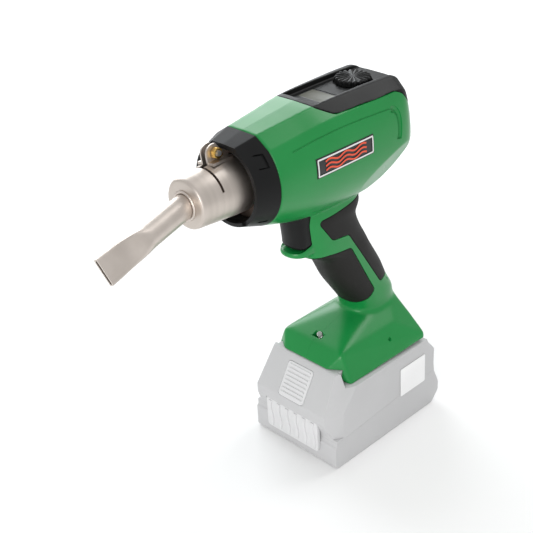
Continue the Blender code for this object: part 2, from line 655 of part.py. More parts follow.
def make_tube():
    bend, along, wide, thin = tube_frame()
    root = Vector((0, TUBE_ROOT_Y, TUBE_BEND_Z))
    straight_wide = Vector((wide.x, 0, wide.z)).normalized()
    straight_thin = Vector((0, -1, 0)).cross(straight_wide)
    outer, inner = [], []

    def add(centre, w, t, half_wide, half_thin, power):
        outer.append(tube_ring(centre, w, t, half_wide, half_thin, power))
        inner.append(tube_ring(centre, w, t, half_wide - TUBE_WALL, half_thin - TUBE_WALL, power))

    add(root, straight_wide, straight_thin, TUBE_RADIUS - GAP, TUBE_RADIUS - GAP, 2.0)
    add(bend, (straight_wide + wide).normalized(), (straight_thin + thin).normalized(),
        TUBE_RADIUS - GAP, TUBE_RADIUS - GAP, 2.0)
    steps = 6
    for i in range(steps + 1):
        t = i / steps
        ease = t * t * (3 - 2 * t)
        distance = TUBE_LENGTH - FLARE_LENGTH * (1 - t)
        half_wide = TUBE_RADIUS + (SLOT_WIDE / 2 - TUBE_RADIUS) * ease
        half_thin = TUBE_RADIUS + (SLOT_HIGH / 2 - TUBE_RADIUS) * ease
        if i == 0:
            add(bend + along * 4.0, wide, thin, TUBE_RADIUS, TUBE_RADIUS, 2.0)
        add(bend + along * distance, wide, thin, half_wide, half_thin, 2.0 + 4.0 * ease)
    tube = loft("nozzle_tube", outer + inner[::-1], STEEL, closed=True)
    set_origin(tube, (0, SLEEVE_FRONT, AXIS_Z))


# ---------------------------------------------------------------- heater and blower
def make_heater():
    r = HEATER_RADIUS
    turned("heater_tube", [(r, HEATER_REAR), (r, HEATER_FRONT), (r - 0.9, HEATER_FRONT),
                           (r - 0.9, HEATER_REAR)], DARK_STEEL)
    turned("mica_sleeve", [(r - 1.2, -54.0), (r - 1.2, -126.0), (r - 1.9, -126.0), (r - 1.9, -54.0)], MICA)

    def star(y):
        count = 48
        ring = []
        for i in range(count):
            angle = 2 * math.pi * i / count
            reach = 12.0 if i % 8 in (0, 1, 7) else 6.5
            ring.append((reach * math.cos(angle), y, AXIS_Z + reach * math.sin(angle)))
        return ring

    core = loft("heater_core", [star(-122.0), star(-56.0)], CERAMIC)
    cut(core, rod("core_bore", (0, -140, AXIS_Z), (0, -40, AXIS_Z), 2.2, hidden=True, sides=16))
    coil("heater_coil", (0, -117, AXIS_Z), (0, -61, AXIS_Z), 13.6, 0.7, 7, HEATER_WIRE)
    rod("thermocouple", (0, -125, AXIS_Z), (0, -50, AXIS_Z), 1.3, SCREW_STEEL, sides=12)


def make_blower():
    turned("fan_housing", [
        (FAN_RADIUS, FAN_REAR), (FAN_RADIUS, -22.0), (17.6, -42.0), (17.6, FAN_FRONT),
        (16.0, FAN_FRONT), (16.0, -41.4), (FAN_RADIUS - 1.8, -21.4), (FAN_RADIUS - 1.8, FAN_REAR - 1.8),
        (15.5, FAN_REAR - 1.8), (15.5, FAN_REAR)], DARK_PLASTIC)
    impeller = rod("impeller", (0, -3.0, AXIS_Z), (0, -4.4, AXIS_Z), 21.5, DARK_PLASTIC, sides=36)
    join(impeller, rod("hub", (0, -3.4, AXIS_Z), (0, -15.0, AXIS_Z), 4.2, hidden=True, sides=18))
    for i in range(9):
        blade = box(f"blade_{i}", (7.0, -13.5, AXIS_Z - 0.6), (21.0, -4.0, AXIS_Z + 0.6), hidden=True)
        blade.data.transform(
            Matrix.Translation((0, 0, AXIS_Z * MM)) @ Matrix.Rotation(2 * math.pi * i / 9, 4, "Y")
            @ Matrix.Translation((0, 0, -AXIS_Z * MM)))
        join(impeller, blade)
    cut(impeller, rod("hub_bore", (0, 10, AXIS_Z), (0, -30, AXIS_Z), 1.8, hidden=True, sides=12))
    set_origin(impeller, (0, -3.0, AXIS_Z))
    shaft = rod("motor_shaft", (0, -16.0, AXIS_Z), (0, 11.0, AXIS_Z), 1.5, SCREW_STEEL, sides=12)
    set_origin(shaft, (0, -16.0, AXIS_Z))
    can = rod("motor_can", (0, MOTOR_FRONT, AXIS_Z), (0, MOTOR_REAR, AXIS_Z), MOTOR_RADIUS, SCREW_STEEL)
    cut(can, rod("bearing_bore", (0, 0, AXIS_Z), (0, 11.6, AXIS_Z), 1.9, hidden=True, sides=12))
    turned("motor_mount", [(18.5, 18.0), (18.5, 12.0), (12.8, 12.0), (12.8, 18.0)], RUBBER)
    for name, side in (("intake_filter_left", 1), ("intake_filter_right", -1)):
        low, high = sorted((side * 23.0, side * 24.6))
        box(name, (low, 19.0, 238.0), (high, 34.0, 266.0), FOAM)


# ---------------------------------------------------------------- trigger, switch, handle electronics
def trigger_ring(z, front):
    """Plan of the trigger: flat back, straight sides and a rounded front."""
    shoulder = -49.5
    ring = [(-TRIGGER_HALF, TRIGGER_BACK, z), (TRIGGER_HALF, TRIGGER_BACK, z)]
    for step in range(9):
        angle = math.pi * step / 8
        ring.append((TRIGGER_HALF * math.cos(angle), shoulder + (front - shoulder) * math.sin(angle), z))
    return ring


def make_trigger():
    trigger = loft("trigger", [
        trigger_ring(TRIGGER_FOOT, -55.5), trigger_ring(177.5, -57.4), trigger_ring(185.0, -58.4),
        trigger_ring(195.0, -60.0), trigger_ring(TRIGGER_TOP, -61.5)], BLACK)
    set_origin(trigger, (0, TRIGGER_BACK, 187))
    plunger = rod("trigger_plunger", (0, TRIGGER_BACK + GAP, 187), (0, -26, 187), 2.0, PALE_PLASTIC, sides=16)
    set_origin(plunger, (0, TRIGGER_BACK, 187))
    switch = box("trigger_switch", (-8, -31, 176), (8, -8, 198), DARK_PLASTIC)
    cut(switch, rod("switch_bore", (0, -60, 187), (0, -23 + TRIGGER_TRAVEL, 187), 2.5, hidden=True,
                    sides=16))
    coil("trigger_spring", (0, TRIGGER_BACK + 0.9, 187), (0, -31.9, 187), 4.2, 0.5, 4, SCREW_STEEL)


def make_handle_electronics():
    box("power_board", (-0.8, -2, 118), (0.8, 14, 158), BOARD, turn=("X", 31.5, (0, 6, 138)))
    box("contact_block", (-20, 4, BAY_TOP + 0.6), (20, 34, 86), DARK_PLASTIC)
    for pole, x in (("plus", 12.0), ("minus", -12.0), ("data", 0.0)):
        box(f"contact_blade_{pole}", (x - 0.5, 14, 69.0), (x + 0.5, 30, BAY_TOP + GAP), COPPER)
    rod("work_light_lens", (0, -27.6, 86.6), (0, -29.6, 91.4), 2.2, CLEAR, sides=16)
    rod("work_light_led", (0, -25.6, 81.8), (0, -27.3, 85.9), 2.0, PALE_PLASTIC, sides=12)


def make_screws():
    for i, (y, z) in enumerate(SCREWS, start=1):
        edge = shell_side(y, z)
        screw = rod(f"housing_screw_{i}", (-edge + 4.3, y, z), (8, y, z), SCREW_SHANK, SCREW_STEEL, sides=10)
        join(screw, rod("head", (-edge + 1.6, y, z), (-edge + 3.7, y, z), SCREW_HEAD, hidden=True, sides=16))
        join(screw, rod("neck", (-edge + 3.2, y, z), (-edge + 6.0, y, z), SCREW_SHANK, hidden=True, sides=10))


# ---------------------------------------------------------------- battery pack
LOWER_SIDE = [(PACK_FRONT, 2.0), (-58.0, 0.0), (56.0, 0.0), (PACK_REAR, 9.0), (PACK_REAR, 17.0),
              (58.5, 30.0), (55.5, 31.0), (-57.5, 23.4), (-58.5, 20.6), (PACK_FRONT, 19.6)]
UPPER_SIDE = [(-57.5, 23.8), (55.5, 31.4), (57.6, 38.0), (58.0, 52.0), (49.5, 62.5), (46.0, DECK_TOP),
              (-46.8, DECK_TOP), (-49.4, 72.0), (-64.5, 47.0), (-64.5, 39.0), (-58.5, 26.5)]


def slope_frame():
    along = (SLOPE_HIGH - SLOPE_LOW).normalized()
    outward = Vector((0, -along.z, along.y))
    return (SLOPE_HIGH + SLOPE_LOW) / 2, along, outward


def slope_block(name, half, reach, deep, proud, surface=None, hidden=False):
    """A block lying on the pack's sloping front, from deep under it to proud of it."""
    middle, along, outward = slope_frame()
    rings = []
    for height in (-deep, proud):
        rings.append([middle + Vector((x, 0, 0)) + along * t + outward * height
                      for x, t in ((-half, -reach), (half, -reach), (half, reach), (-half, reach))])
    return loft(name, rings, surface, hidden)


def corner_block(name, side, tilt):
    """Everything outside a plane that cuts a front corner of the upper case."""
    normal = Vector((side * 0.894, -0.447, tilt)).normalized()
    across = normal.cross(Vector((0, 0, 1))).normalized()
    up = across.cross(normal)
    point = Vector((side * CORNER_HALF, SLOPE_LOW.y, SLOPE_LOW.z))
    rings = []
    for reach in (0, 60):
        rings.append([point + normal * reach + across * a + up * b
                      for a, b in ((-60, -60), (60, -60), (60, 60), (-60, 60))])
    return loft(name, rings, hidden=True)


def make_pack():
    lower = slab("battery_case_lower", LOWER_SIDE, -PACK_HALF, PACK_HALF, PACK_GREY)
    room = PACK_HALF - PACK_WALL
    cut(lower, box("tray", (-room, -57.2, PACK_WALL), (room, 55.0, 60), hidden=True))

    upper = slab("battery_case_upper", UPPER_SIDE, -PACK_HALF, PACK_HALF, PACK_GREY)
    for side in (-1, 1):
        low, high = sorted((side * DECK_HALF, side * 60))
        cut(upper, box("shoulder", (low, -43.0, SHOULDER_TOP), (high, 80, 90), hidden=True),
            corner_block("tilted_corner", side, CORNER_TILT), corner_block("upright_corner", side, 0.0))
    cut(upper,
        box("cell_room", (-room, -55.0, 10), (room, 54.8, 47.5), hidden=True),
        box("deck_room", (-28.6, -38, 40), (28.6, 44, 66.0), hidden=True),
        slope_block("button_pocket", BUTTON_HALF + GAP, BUTTON_REACH + GAP,
                    BUTTON_DEEP + BUTTON_TRAVEL + 0.4, 20, hidden=True),
        box("panel_space", (-27.3, -80, 0), (27.3, -59.9, 38.4), hidden=True))
    for x in (-12.0, 0.0, 12.0):
        cut(upper, box("contact_slot", (x - 1.2, 11.0, 68.0), (x + 1.2, 80, 90), hidden=True))

    panel = box("battery_front_panel", (-27, -63.0, 11), (27, -60.3, 38), PACK_PALE)
    for i in range(6):
        x = -22.5 + 9 * i
        join(panel, box(f"rib_{i}", (x - 1.6, -64.4, 12.5), (x + 1.6, -62.0, 36.5), hidden=True))

    button = slope_block("battery_button", BUTTON_HALF, BUTTON_REACH, BUTTON_DEEP, BUTTON_PROUD - 0.8,
                         PACK_PALE)
    middle, along, outward = slope_frame()
    for i in range(8):
        t = -11.2 + 3.2 * i
        rings = []
        for height in (-1.0, BUTTON_PROUD):
            rings.append([middle + Vector((x, 0, 0)) + along * (t + s) + outward * height
                          for x, s in ((-11, -0.8), (11, -0.8), (11, 0.8), (-11, 0.8))])
        join(button, loft(f"button_rib_{i}", rings, hidden=True))
    set_origin(button, middle)
    coil("latch_spring", middle - outward * 6.9, middle - outward * 4.9, 3.0, 0.35, 2, SCREW_STEEL)

    for name, z in (("battery_cells_lower", 13.8), ("battery_cells_upper", 35.4)):
        row = box(name, (-CELL_LENGTH / 2 - 0.6, -48, z - 3), (-CELL_LENGTH / 2 + 0.5, 46, z + 3), CELL_SKIN)
        join(row, box("strip", (CELL_LENGTH / 2 - 0.5, -48, z - 3), (CELL_LENGTH / 2 + 0.6, 46, z + 3),
                      hidden=True))
        for i in range(5):
            y = CELL_PITCH * (i - 2) - 0.8
            join(row, rod(f"cell_{i}", (-CELL_LENGTH / 2, y, z), (CELL_LENGTH / 2, y, z), CELL_RADIUS,
                          hidden=True, sides=20))
    box("battery_board", (-28, -34, 50.5), (28, 42, 52.1), BOARD)
    box("battery_terminals", (-16, 14, 52.5), (16, 42, 65.4), PALE_PLASTIC)
    box("battery_label", (PACK_HALF + GAP, 15.5, 27.5), (PACK_HALF + 0.7, 45.5, 53.0), LABEL_WHITE)


make_shells()
make_grips()
make_cover()
make_dial()
make_labels()
make_collar()
make_sleeve()
make_clamp_hardware()
make_tube()
make_heater()
make_blower()
make_trigger()
make_handle_electronics()
make_screws()
make_pack()
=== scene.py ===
# %% [markdown]
# # A cordless heat gun
# The tool is a moulded clamshell on a slide-on battery pack: a faceted barrel with the blower and
# heater in it, a bent steel nozzle clamped on its front, rubber grips and a black control cover.
# Its working parts come from the CAD frame. Here we give every visible piece its fine surface and
# every material its grain. We start by loading the frame.

# %% Load the frame
import math

import bpy
from mathutils import Matrix, Vector


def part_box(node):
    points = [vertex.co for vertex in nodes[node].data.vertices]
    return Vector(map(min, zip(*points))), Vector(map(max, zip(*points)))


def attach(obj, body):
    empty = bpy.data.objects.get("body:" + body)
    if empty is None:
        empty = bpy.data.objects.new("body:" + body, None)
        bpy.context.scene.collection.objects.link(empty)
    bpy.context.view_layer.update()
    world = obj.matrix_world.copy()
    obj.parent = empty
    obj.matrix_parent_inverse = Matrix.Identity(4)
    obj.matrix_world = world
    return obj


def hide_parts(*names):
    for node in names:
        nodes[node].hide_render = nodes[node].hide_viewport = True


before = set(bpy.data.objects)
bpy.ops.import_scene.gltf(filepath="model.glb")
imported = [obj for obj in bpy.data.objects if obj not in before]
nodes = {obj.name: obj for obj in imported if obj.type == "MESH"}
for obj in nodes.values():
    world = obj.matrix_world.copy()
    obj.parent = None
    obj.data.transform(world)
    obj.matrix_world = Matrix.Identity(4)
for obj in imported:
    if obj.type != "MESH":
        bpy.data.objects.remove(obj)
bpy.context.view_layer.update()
MM = 0.001

# %% [markdown]
# ## Camera
# A long lens from above and to the left of the nozzle keeps perspective gentle, so that edges which
# are parallel on the tool stay nearly parallel. The camera is turned through azimuth, elevation and
# a small roll, which is easier to reason about than three Euler angles.

# %% Camera
CAMERA_PLACE = Vector((0.5078, -0.5491, 0.5632))
CAMERA_AZIMUTH, CAMERA_ELEVATION, CAMERA_ROLL = 47.25, 29.52, -3.58


def camera_turn(azimuth, elevation, roll):
    """Rotation of a camera that looks at the tool from an azimuth and an elevation."""
    a, e, r = (math.radians(v) for v in (azimuth, elevation, roll))
    back = Vector((math.sin(a) * math.cos(e), -math.cos(a) * math.cos(e), math.sin(e)))
    level = Vector((math.cos(a), math.sin(a), 0))
    upright = back.cross(level)
    right = level * math.cos(r) + upright * math.sin(r)
    up = upright * math.cos(r) - level * math.sin(r)
    return Matrix((right, up, back)).transposed()


lens = bpy.data.cameras.new("camera")
lens.lens = 76.5
lens.sensor_width = 36
camera = bpy.data.objects.new("camera", lens)
bpy.context.collection.objects.link(camera)
camera.matrix_world = (Matrix.Translation(CAMERA_PLACE)
                       @ camera_turn(CAMERA_AZIMUTH, CAMERA_ELEVATION, CAMERA_ROLL).to_4x4())
bpy.context.scene.camera = camera
print("camera:", round(CAMERA_PLACE.length, 2), "m from the pack")

# %% [markdown]
# ## Floor and light
# The tool stands in a white studio. A cool softbox at its right gives the pale sheen on the facet
# that looks up that way, a high one behind lifts the top, and a large one in front fills the flank.
# A bright even world keeps the floor white with only a soft shadow under the pack. Area lights are
# used because their size sets how soft a shadow is.

# %% Floor and light
bpy.context.scene.view_settings.view_transform = "Standard"

bpy.ops.object.select_all(action="DESELECT")
bpy.ops.mesh.primitive_plane_add(size=12, location=(0, 0, -0.0002))
floor = bpy.context.object
floor.name = "floor"


def softbox(name, place, target, size, power, colour=(1.0, 1.0, 1.0)):
    data = bpy.data.lights.new(name, "AREA")
    data.shape = "RECTANGLE"
    data.size, data.size_y = size
    data.energy = power
    data.color = colour
    lamp = bpy.data.objects.new(name, data)
    bpy.context.collection.objects.link(lamp)
    lamp.location = place
    lamp.rotation_euler = (Vector(target) - Vector(place)).to_track_quat("-Z", "Y").to_euler()
    return lamp


softbox("softbox_left", (-1.15, 0.45, 0.75), (0, -0.02, 0.2), (1.2, 0.8), 11.5, (0.93, 0.97, 1.0))
softbox("softbox_back", (0.10, 1.15, 1.5), (0, 0, 0.1), (0.8, 0.8), 8)
softbox("softbox_front", (0.85, -1.55, 0.7), (0, -0.02, 0.16), (1.0, 1.0), 16)

world = bpy.data.worlds.new("studio")
bpy.context.scene.world = world
world.use_nodes = True
world.node_tree.nodes["Background"].inputs["Color"].default_value = (1.0, 1.0, 1.0, 1.0)
world.node_tree.nodes["Background"].inputs["Strength"].default_value = 0.70

# %% [markdown]
# ## Shared shader groups
# Moulded plastic, rubber and metal all need the same few ingredients: a fine grain for the bump, a
# slow patchiness that keeps a large face from looking painted flat, lines left by turning, and worn
# edges. Each ingredient is a node group built once and placed in many materials. A group hands out
# only values, and the shader itself stays in the material.

# %% Building a node group


def new_group(name, inputs, outputs):
    tree = bpy.data.node_groups.new(name, "ShaderNodeTree")
    for socket, kind, value in inputs:
        made = tree.interface.new_socket(name=socket, in_out="INPUT", socket_type=kind)
        if value is not None:
            made.default_value = value
    for socket in outputs:
        tree.interface.new_socket(name=socket, in_out="OUTPUT", socket_type="NodeSocketFloat")
    return tree, tree.nodes.new("NodeGroupInput"), tree.nodes.new("NodeGroupOutput")


def noise(tree, vector, scale, detail=2.0, dimensions="3D"):
    made = tree.nodes.new("ShaderNodeTexNoise")
    made.noise_dimensions = dimensions
    made.inputs["Detail"].default_value = detail
    tree.links.new(vector, made.inputs["W" if dimensions == "1D" else "Vector"])
    if isinstance(scale, (int, float)):
        made.inputs["Scale"].default_value = scale
    else:
        tree.links.new(scale, made.inputs["Scale"])
    return made.outputs["Fac"]


def stretch(tree, value, low, high, to_low=0.0, to_high=1.0):
    made = tree.nodes.new("ShaderNodeMapRange")
    for socket, number in (("From Min", low), ("From Max", high), ("To Min", to_low), ("To Max", to_high)):
        if isinstance(number, (int, float)):
            made.inputs[socket].default_value = number
        else:
            tree.links.new(number, made.inputs[socket])
    tree.links.new(value, made.inputs["Value"])
    return made.outputs["Result"]


# %% Grain and patches
grain_group, g_in, g_out = new_group(
    "moulded_grain",
    [("Vector", "NodeSocketVector", None), ("Grain", "NodeSocketFloat", 1500.0),
     ("Patches", "NodeSocketFloat", 22.0)],
    ["Height", "Patch"])
grain = noise(grain_group, g_in.outputs["Vector"], g_in.outputs["Grain"], 3.0)
grain_group.links.new(grain, g_out.inputs["Height"])
patch = noise(grain_group, g_in.outputs["Vector"], g_in.outputs["Patches"], 4.0)
grain_group.links.new(stretch(grain_group, patch, 0.3, 0.7), g_out.inputs["Patch"])

# %% Lines left by a lathe, running round the barrel's axis
lines_group, l_in, l_out = new_group(
    "turned_lines",
    [("Vector", "NodeSocketVector", None), ("Fineness", "NodeSocketFloat", 2400.0)],
    ["Height", "Streak"])
split = lines_group.nodes.new("ShaderNodeSeparateXYZ")
lines_group.links.new(l_in.outputs["Vector"], split.inputs["Vector"])
lines_group.links.new(
    noise(lines_group, split.outputs["Y"], l_in.outputs["Fineness"], 4.0, "1D"), l_out.inputs["Height"])
streak = noise(lines_group, split.outputs["Y"], 260.0, 2.0, "1D")
lines_group.links.new(stretch(lines_group, streak, 0.3, 0.7), l_out.inputs["Streak"])

# %% Worn edges
wear_group, w_in, w_out = new_group(
    "edge_wear",
    [("Vector", "NodeSocketVector", None), ("Reach", "NodeSocketFloat", 0.56)],
    ["Worn"])
shape_of = wear_group.nodes.new("ShaderNodeNewGeometry")
broken = stretch(wear_group, noise(wear_group, w_in.outputs["Vector"], 240.0, 3.0), 0.35, 0.65)
edge = stretch(wear_group, shape_of.outputs["Pointiness"], w_in.outputs["Reach"], 0.66)
both = wear_group.nodes.new("ShaderNodeMath")
both.operation = "MULTIPLY"
wear_group.links.new(edge, both.inputs[0])
wear_group.links.new(broken, both.inputs[1])
wear_group.links.new(both.outputs["Value"], w_out.inputs["Worn"])
print("groups:", [g.name for g in bpy.data.node_groups])

# %% [markdown]
# ## Materials
# One function mixes the groups into a finish: two near colours that drift with the patches, a
# lighter worn edge, a roughness that varies by a few hundredths, and a bump from the grain. What is
# the same all over, such as metallic, is set on the shader's own socket, so it survives an export.

# %% The finish function


def use_group(tree, group, coords, **values):
    made = tree.nodes.new("ShaderNodeGroup")
    made.node_tree = group
    tree.links.new(coords, made.inputs["Vector"])
    for socket, value in values.items():
        made.inputs[socket].default_value = value
    return made


def mix_colour(tree, factor, first, second):
    made = tree.nodes.new("ShaderNodeMix")
    made.data_type = "RGBA"
    tree.links.new(factor, made.inputs[0])
    for socket, colour in ((made.inputs[6], first), (made.inputs[7], second)):
        if isinstance(colour, tuple):
            socket.default_value = (*colour, 1.0)
        else:
            tree.links.new(colour, socket)
    return made.outputs[2]


def finish_of(name, colour, drift, rough, metallic=0.0, grain=1500.0, bump=0.00002, patches=22.0,
              worn=None, reach=0.56, lines=0.0, coat=0.0, specular=0.5):
    """A procedural finish; drift is the second colour, rough the roughness at both ends."""
    made = bpy.data.materials.new(name)
    made.use_nodes = True
    tree = made.node_tree
    shader = tree.nodes["Principled BSDF"]
    coords = tree.nodes.new("ShaderNodeTexCoord").outputs["Object"]
    skin = use_group(tree, grain_group, coords, Grain=grain, Patches=patches)
    height = skin.outputs["Height"]
    tone = skin.outputs["Patch"]
    if lines:
        turned_marks = use_group(tree, lines_group, coords, Fineness=lines)
        height, tone = turned_marks.outputs["Height"], turned_marks.outputs["Streak"]
    paint = mix_colour(tree, tone, colour, drift)
    if worn:
        rubbed = use_group(tree, wear_group, coords, Reach=reach)
        paint = mix_colour(tree, rubbed.outputs["Worn"], paint, worn)
    tree.links.new(paint, shader.inputs["Base Color"])
    tree.links.new(stretch(tree, skin.outputs["Patch"], 0.0, 1.0, *rough), shader.inputs["Roughness"])
    shader.inputs["Metallic"].default_value = metallic
    shader.inputs["Coat Weight"].default_value = coat
    shader.inputs["Coat Roughness"].default_value = 0.12
    shader.inputs["Specular IOR Level"].default_value = specular
    relief = tree.nodes.new("ShaderNodeBump")
    relief.inputs["Strength"].default_value = 1.0
    relief.inputs["Distance"].default_value = bump
    tree.links.new(height, relief.inputs["Height"])
    tree.links.new(relief.outputs["Normal"], shader.inputs["Normal"])
    return made


# %% Plastics and rubber
GREEN = finish_of("green_shell", (0.004, 0.205, 0.040), (0.006, 0.225, 0.047), (0.27, 0.33),
                  grain=1300, bump=0.000012, worn=(0.05, 0.32, 0.11), reach=0.58, specular=0.40)
BLACK = finish_of("black_shell", (0.0055, 0.0058, 0.006), (0.008, 0.0083, 0.0085), (0.38, 0.46),
                  grain=2100, bump=0.00003, worn=(0.03, 0.03, 0.031), specular=0.17)
RUBBER = finish_of("grip_rubber", (0.0085, 0.0078, 0.0073), (0.012, 0.011, 0.0103), (0.52, 0.64),
                   grain=2600, bump=0.00005, worn=(0.03, 0.028, 0.026), specular=0.22)
PACK = finish_of("pack_shell", (0.49, 0.49, 0.495), (0.51, 0.51, 0.515), (0.48, 0.58),
                 grain=1700, bump=0.00002, worn=(0.58, 0.58, 0.58), specular=0.3)
PACK_PALE = finish_of("pack_pale", (0.62, 0.62, 0.625), (0.65, 0.65, 0.655), (0.45, 0.55),
                      grain=1700, bump=0.00002, worn=(0.68, 0.68, 0.68), specular=0.3)
INNER_DARK = finish_of("inner_dark_plastic", (0.035, 0.035, 0.04), (0.05, 0.05, 0.055), (0.5, 0.65),
                       grain=900, bump=0.00003)
INNER_PALE = finish_of("inner_pale_plastic", (0.62, 0.62, 0.58), (0.70, 0.70, 0.66), (0.45, 0.6),
                       grain=900, bump=0.00002)
BOARD = finish_of("circuit_board", (0.012, 0.075, 0.035), (0.022, 0.12, 0.055), (0.35, 0.5),
                  grain=700, bump=0.00002, patches=300)
FOAM = finish_of("intake_mesh", (0.03, 0.03, 0.03), (0.07, 0.07, 0.07), (0.8, 0.95), grain=900,
                 bump=0.0002, patches=700)

# %% Metals, ceramics and labels
STEEL = finish_of("nozzle_steel", (0.58, 0.525, 0.475), (0.62, 0.56, 0.51), (0.38, 0.44), 1.0,
                  bump=0.0000015, patches=60, lines=2400)
TUBE_STEEL = finish_of("tube_steel", (0.59, 0.53, 0.48), (0.65, 0.59, 0.54), (0.36, 0.44), 1.0,
                       grain=420, bump=0.000004, patches=70)
BRASS = finish_of("brass", (0.62, 0.38, 0.09), (0.78, 0.52, 0.17), (0.2, 0.32), 1.0, grain=700,
                  bump=0.000006, patches=300, worn=(0.9, 0.7, 0.35))
PLATED = finish_of("plated_steel", (0.42, 0.42, 0.43), (0.52, 0.52, 0.53), (0.22, 0.35), 1.0,
                   grain=700, bump=0.000005, patches=200, worn=(0.7, 0.7, 0.7))
HOT_STEEL = finish_of("heat_tinted_steel", (0.10, 0.075, 0.06), (0.16, 0.12, 0.10), (0.4, 0.55), 1.0,
                      grain=500, bump=0.00001, patches=90)
WIRE = finish_of("heater_wire", (0.20, 0.16, 0.13), (0.33, 0.27, 0.22), (0.4, 0.6), 1.0, patches=400)
COPPER = finish_of("copper", (0.60, 0.27, 0.14), (0.72, 0.38, 0.22), (0.25, 0.4), 1.0, patches=200)
MICA = finish_of("mica", (0.50, 0.42, 0.28), (0.66, 0.58, 0.44), (0.4, 0.6), patches=160, bump=0.00003)
CERAMIC = finish_of("ceramic", (0.72, 0.67, 0.58), (0.80, 0.76, 0.69), (0.6, 0.75), bump=0.00003)
CELL = finish_of("cell_sleeve", (0.05, 0.20, 0.36), (0.08, 0.26, 0.45), (0.3, 0.4), bump=0.00001)
INK = finish_of("label_dark", (0.010, 0.010, 0.011), (0.014, 0.014, 0.015), (0.28, 0.36), bump=0.000005)
FRAME_INK = finish_of("label_frame", (0.66, 0.66, 0.65), (0.72, 0.72, 0.71), (0.3, 0.4), bump=0.000005)
WARM_INK = finish_of("label_warm", (0.66, 0.055, 0.02), (0.74, 0.075, 0.025), (0.3, 0.4), bump=0.000005)
PAPER = finish_of("label_white", (0.80, 0.80, 0.80), (0.86, 0.86, 0.86), (0.35, 0.45), bump=0.000005)
FLOOR = finish_of("floor_white", (0.90, 0.90, 0.90), (0.905, 0.905, 0.905), (0.85, 0.95), grain=60,
                  bump=0.0, patches=2, specular=0.0)
floor.data.materials.append(FLOOR)

# %% Display film and lamp lens
GLASSY = finish_of("display_film", (0.12, 0.124, 0.105), (0.138, 0.142, 0.118), (0.34, 0.42), grain=500,
                   bump=0.000003, specular=0.12)
CLEAR = finish_of("lamp_lens", (0.80, 0.82, 0.80), (0.86, 0.88, 0.86), (0.05, 0.1), grain=500, bump=0.0)
CLEAR.node_tree.nodes["Principled BSDF"].inputs["Transmission Weight"].default_value = 0.7
print("materials:", len(bpy.data.materials))

# %% [markdown]
# ## Modelling by operators
# Every new piece starts as a primitive and is shaped in edit mode. Two habits make that safe in a
# script. Everything is deselected first, because an operator acts on all that is selected. And
# faces or edges are picked by a rule about their place, as we would pick them by eye.

# %% Picking pieces, faces and edges


def drop_selection():
    if bpy.context.object and bpy.context.object.mode != "OBJECT":
        bpy.ops.object.mode_set(mode="OBJECT")
    bpy.ops.object.select_all(action="DESELECT")


def take(item):
    drop_selection()
    item.select_set(True)
    bpy.context.view_layer.objects.active = item


def edit(item, rule=None, kind="FACE"):
    """Opens a piece in edit mode with all of it selected, or only what meets the rule."""
    take(item)
    bpy.ops.object.mode_set(mode="EDIT")
    bpy.ops.mesh.select_mode(type=kind)
    bpy.ops.mesh.select_all(action="DESELECT" if rule else "SELECT")
    if rule:
        bpy.ops.object.mode_set(mode="OBJECT")
        mesh = item.data
        elements = {"FACE": mesh.polygons, "EDGE": mesh.edges, "VERT": mesh.vertices}[kind]
        for element in elements:
            element.select = bool(rule(element))
        bpy.ops.object.mode_set(mode="EDIT")


def leave():
    bpy.ops.object.mode_set(mode="OBJECT")


def faces_out(item):
    edit(item)
    bpy.ops.mesh.remove_doubles(threshold=0.000001)
    bpy.ops.mesh.normals_make_consistent(inside=False)
    leave()


def bake(item, kind, **settings):
    """Adds one modifier, sets it and applies it."""
    take(item)
    made = item.modifiers.new(kind.lower(), kind)
    for key, value in settings.items():
        setattr(made, key, value)
    bpy.ops.object.modifier_apply(modifier=made.name)


def soften(item, width, segments=3, angle=30):
    """Rounds every edge sharper than an angle in degrees by a bevel, its width in mm."""
    bake(item, "BEVEL", width=width * MM, segments=segments, limit_method="ANGLE",
         angle_limit=math.radians(angle), use_clamp_overlap=True)


def melt(item, voxel, iterations):
    """An even mesh of voxels, in mm, relaxed a few times so that joints and rims flow."""
    bake(item, "REMESH", mode="VOXEL", voxel_size=voxel * MM)
    bake(item, "SMOOTH", factor=0.5, iterations=iterations)


def combine(item, operation, tools):
    for tool in tools:
        bake(item, "BOOLEAN", operation=operation, solver="MANIFOLD", object=tool)
        bpy.data.objects.remove(tool)
    return item


def cut(item, *tools):
    return combine(item, "DIFFERENCE", tools)


def join(item, *tools):
    return combine(item, "UNION", tools)


def keep_inside(item, *tools):
    return combine(item, "INTERSECT", tools)


def copy_of(item, name):
    take(item)
    bpy.ops.object.duplicate()
    made = bpy.context.object
    made.name = name
    return made


# %% [markdown]
# ## Four kinds of blank
# A box, a rod, a plate cut from an outline and a tube drawn through sections cover every shape on
# the tool. The drawn tube is a cylinder primitive whose sides are cut into rings. Each vertex is
# then put on the section's curve, which is what a lofting tool would do for us.

# %% Blanks


def block(name, low, high, tilt=None):
    """A box between two corners in mm, tilted about its own centre if asked."""
    drop_selection()
    low, high = Vector(low) * MM, Vector(high) * MM
    bpy.ops.mesh.primitive_cube_add(size=1, location=(low + high) / 2)
    made = bpy.context.object
    made.name = name
    made.scale = high - low
    if tilt:
        made.rotation_euler = [math.radians(v) for v in tilt]
    bpy.ops.object.transform_apply(location=True, rotation=True, scale=True)
    return made


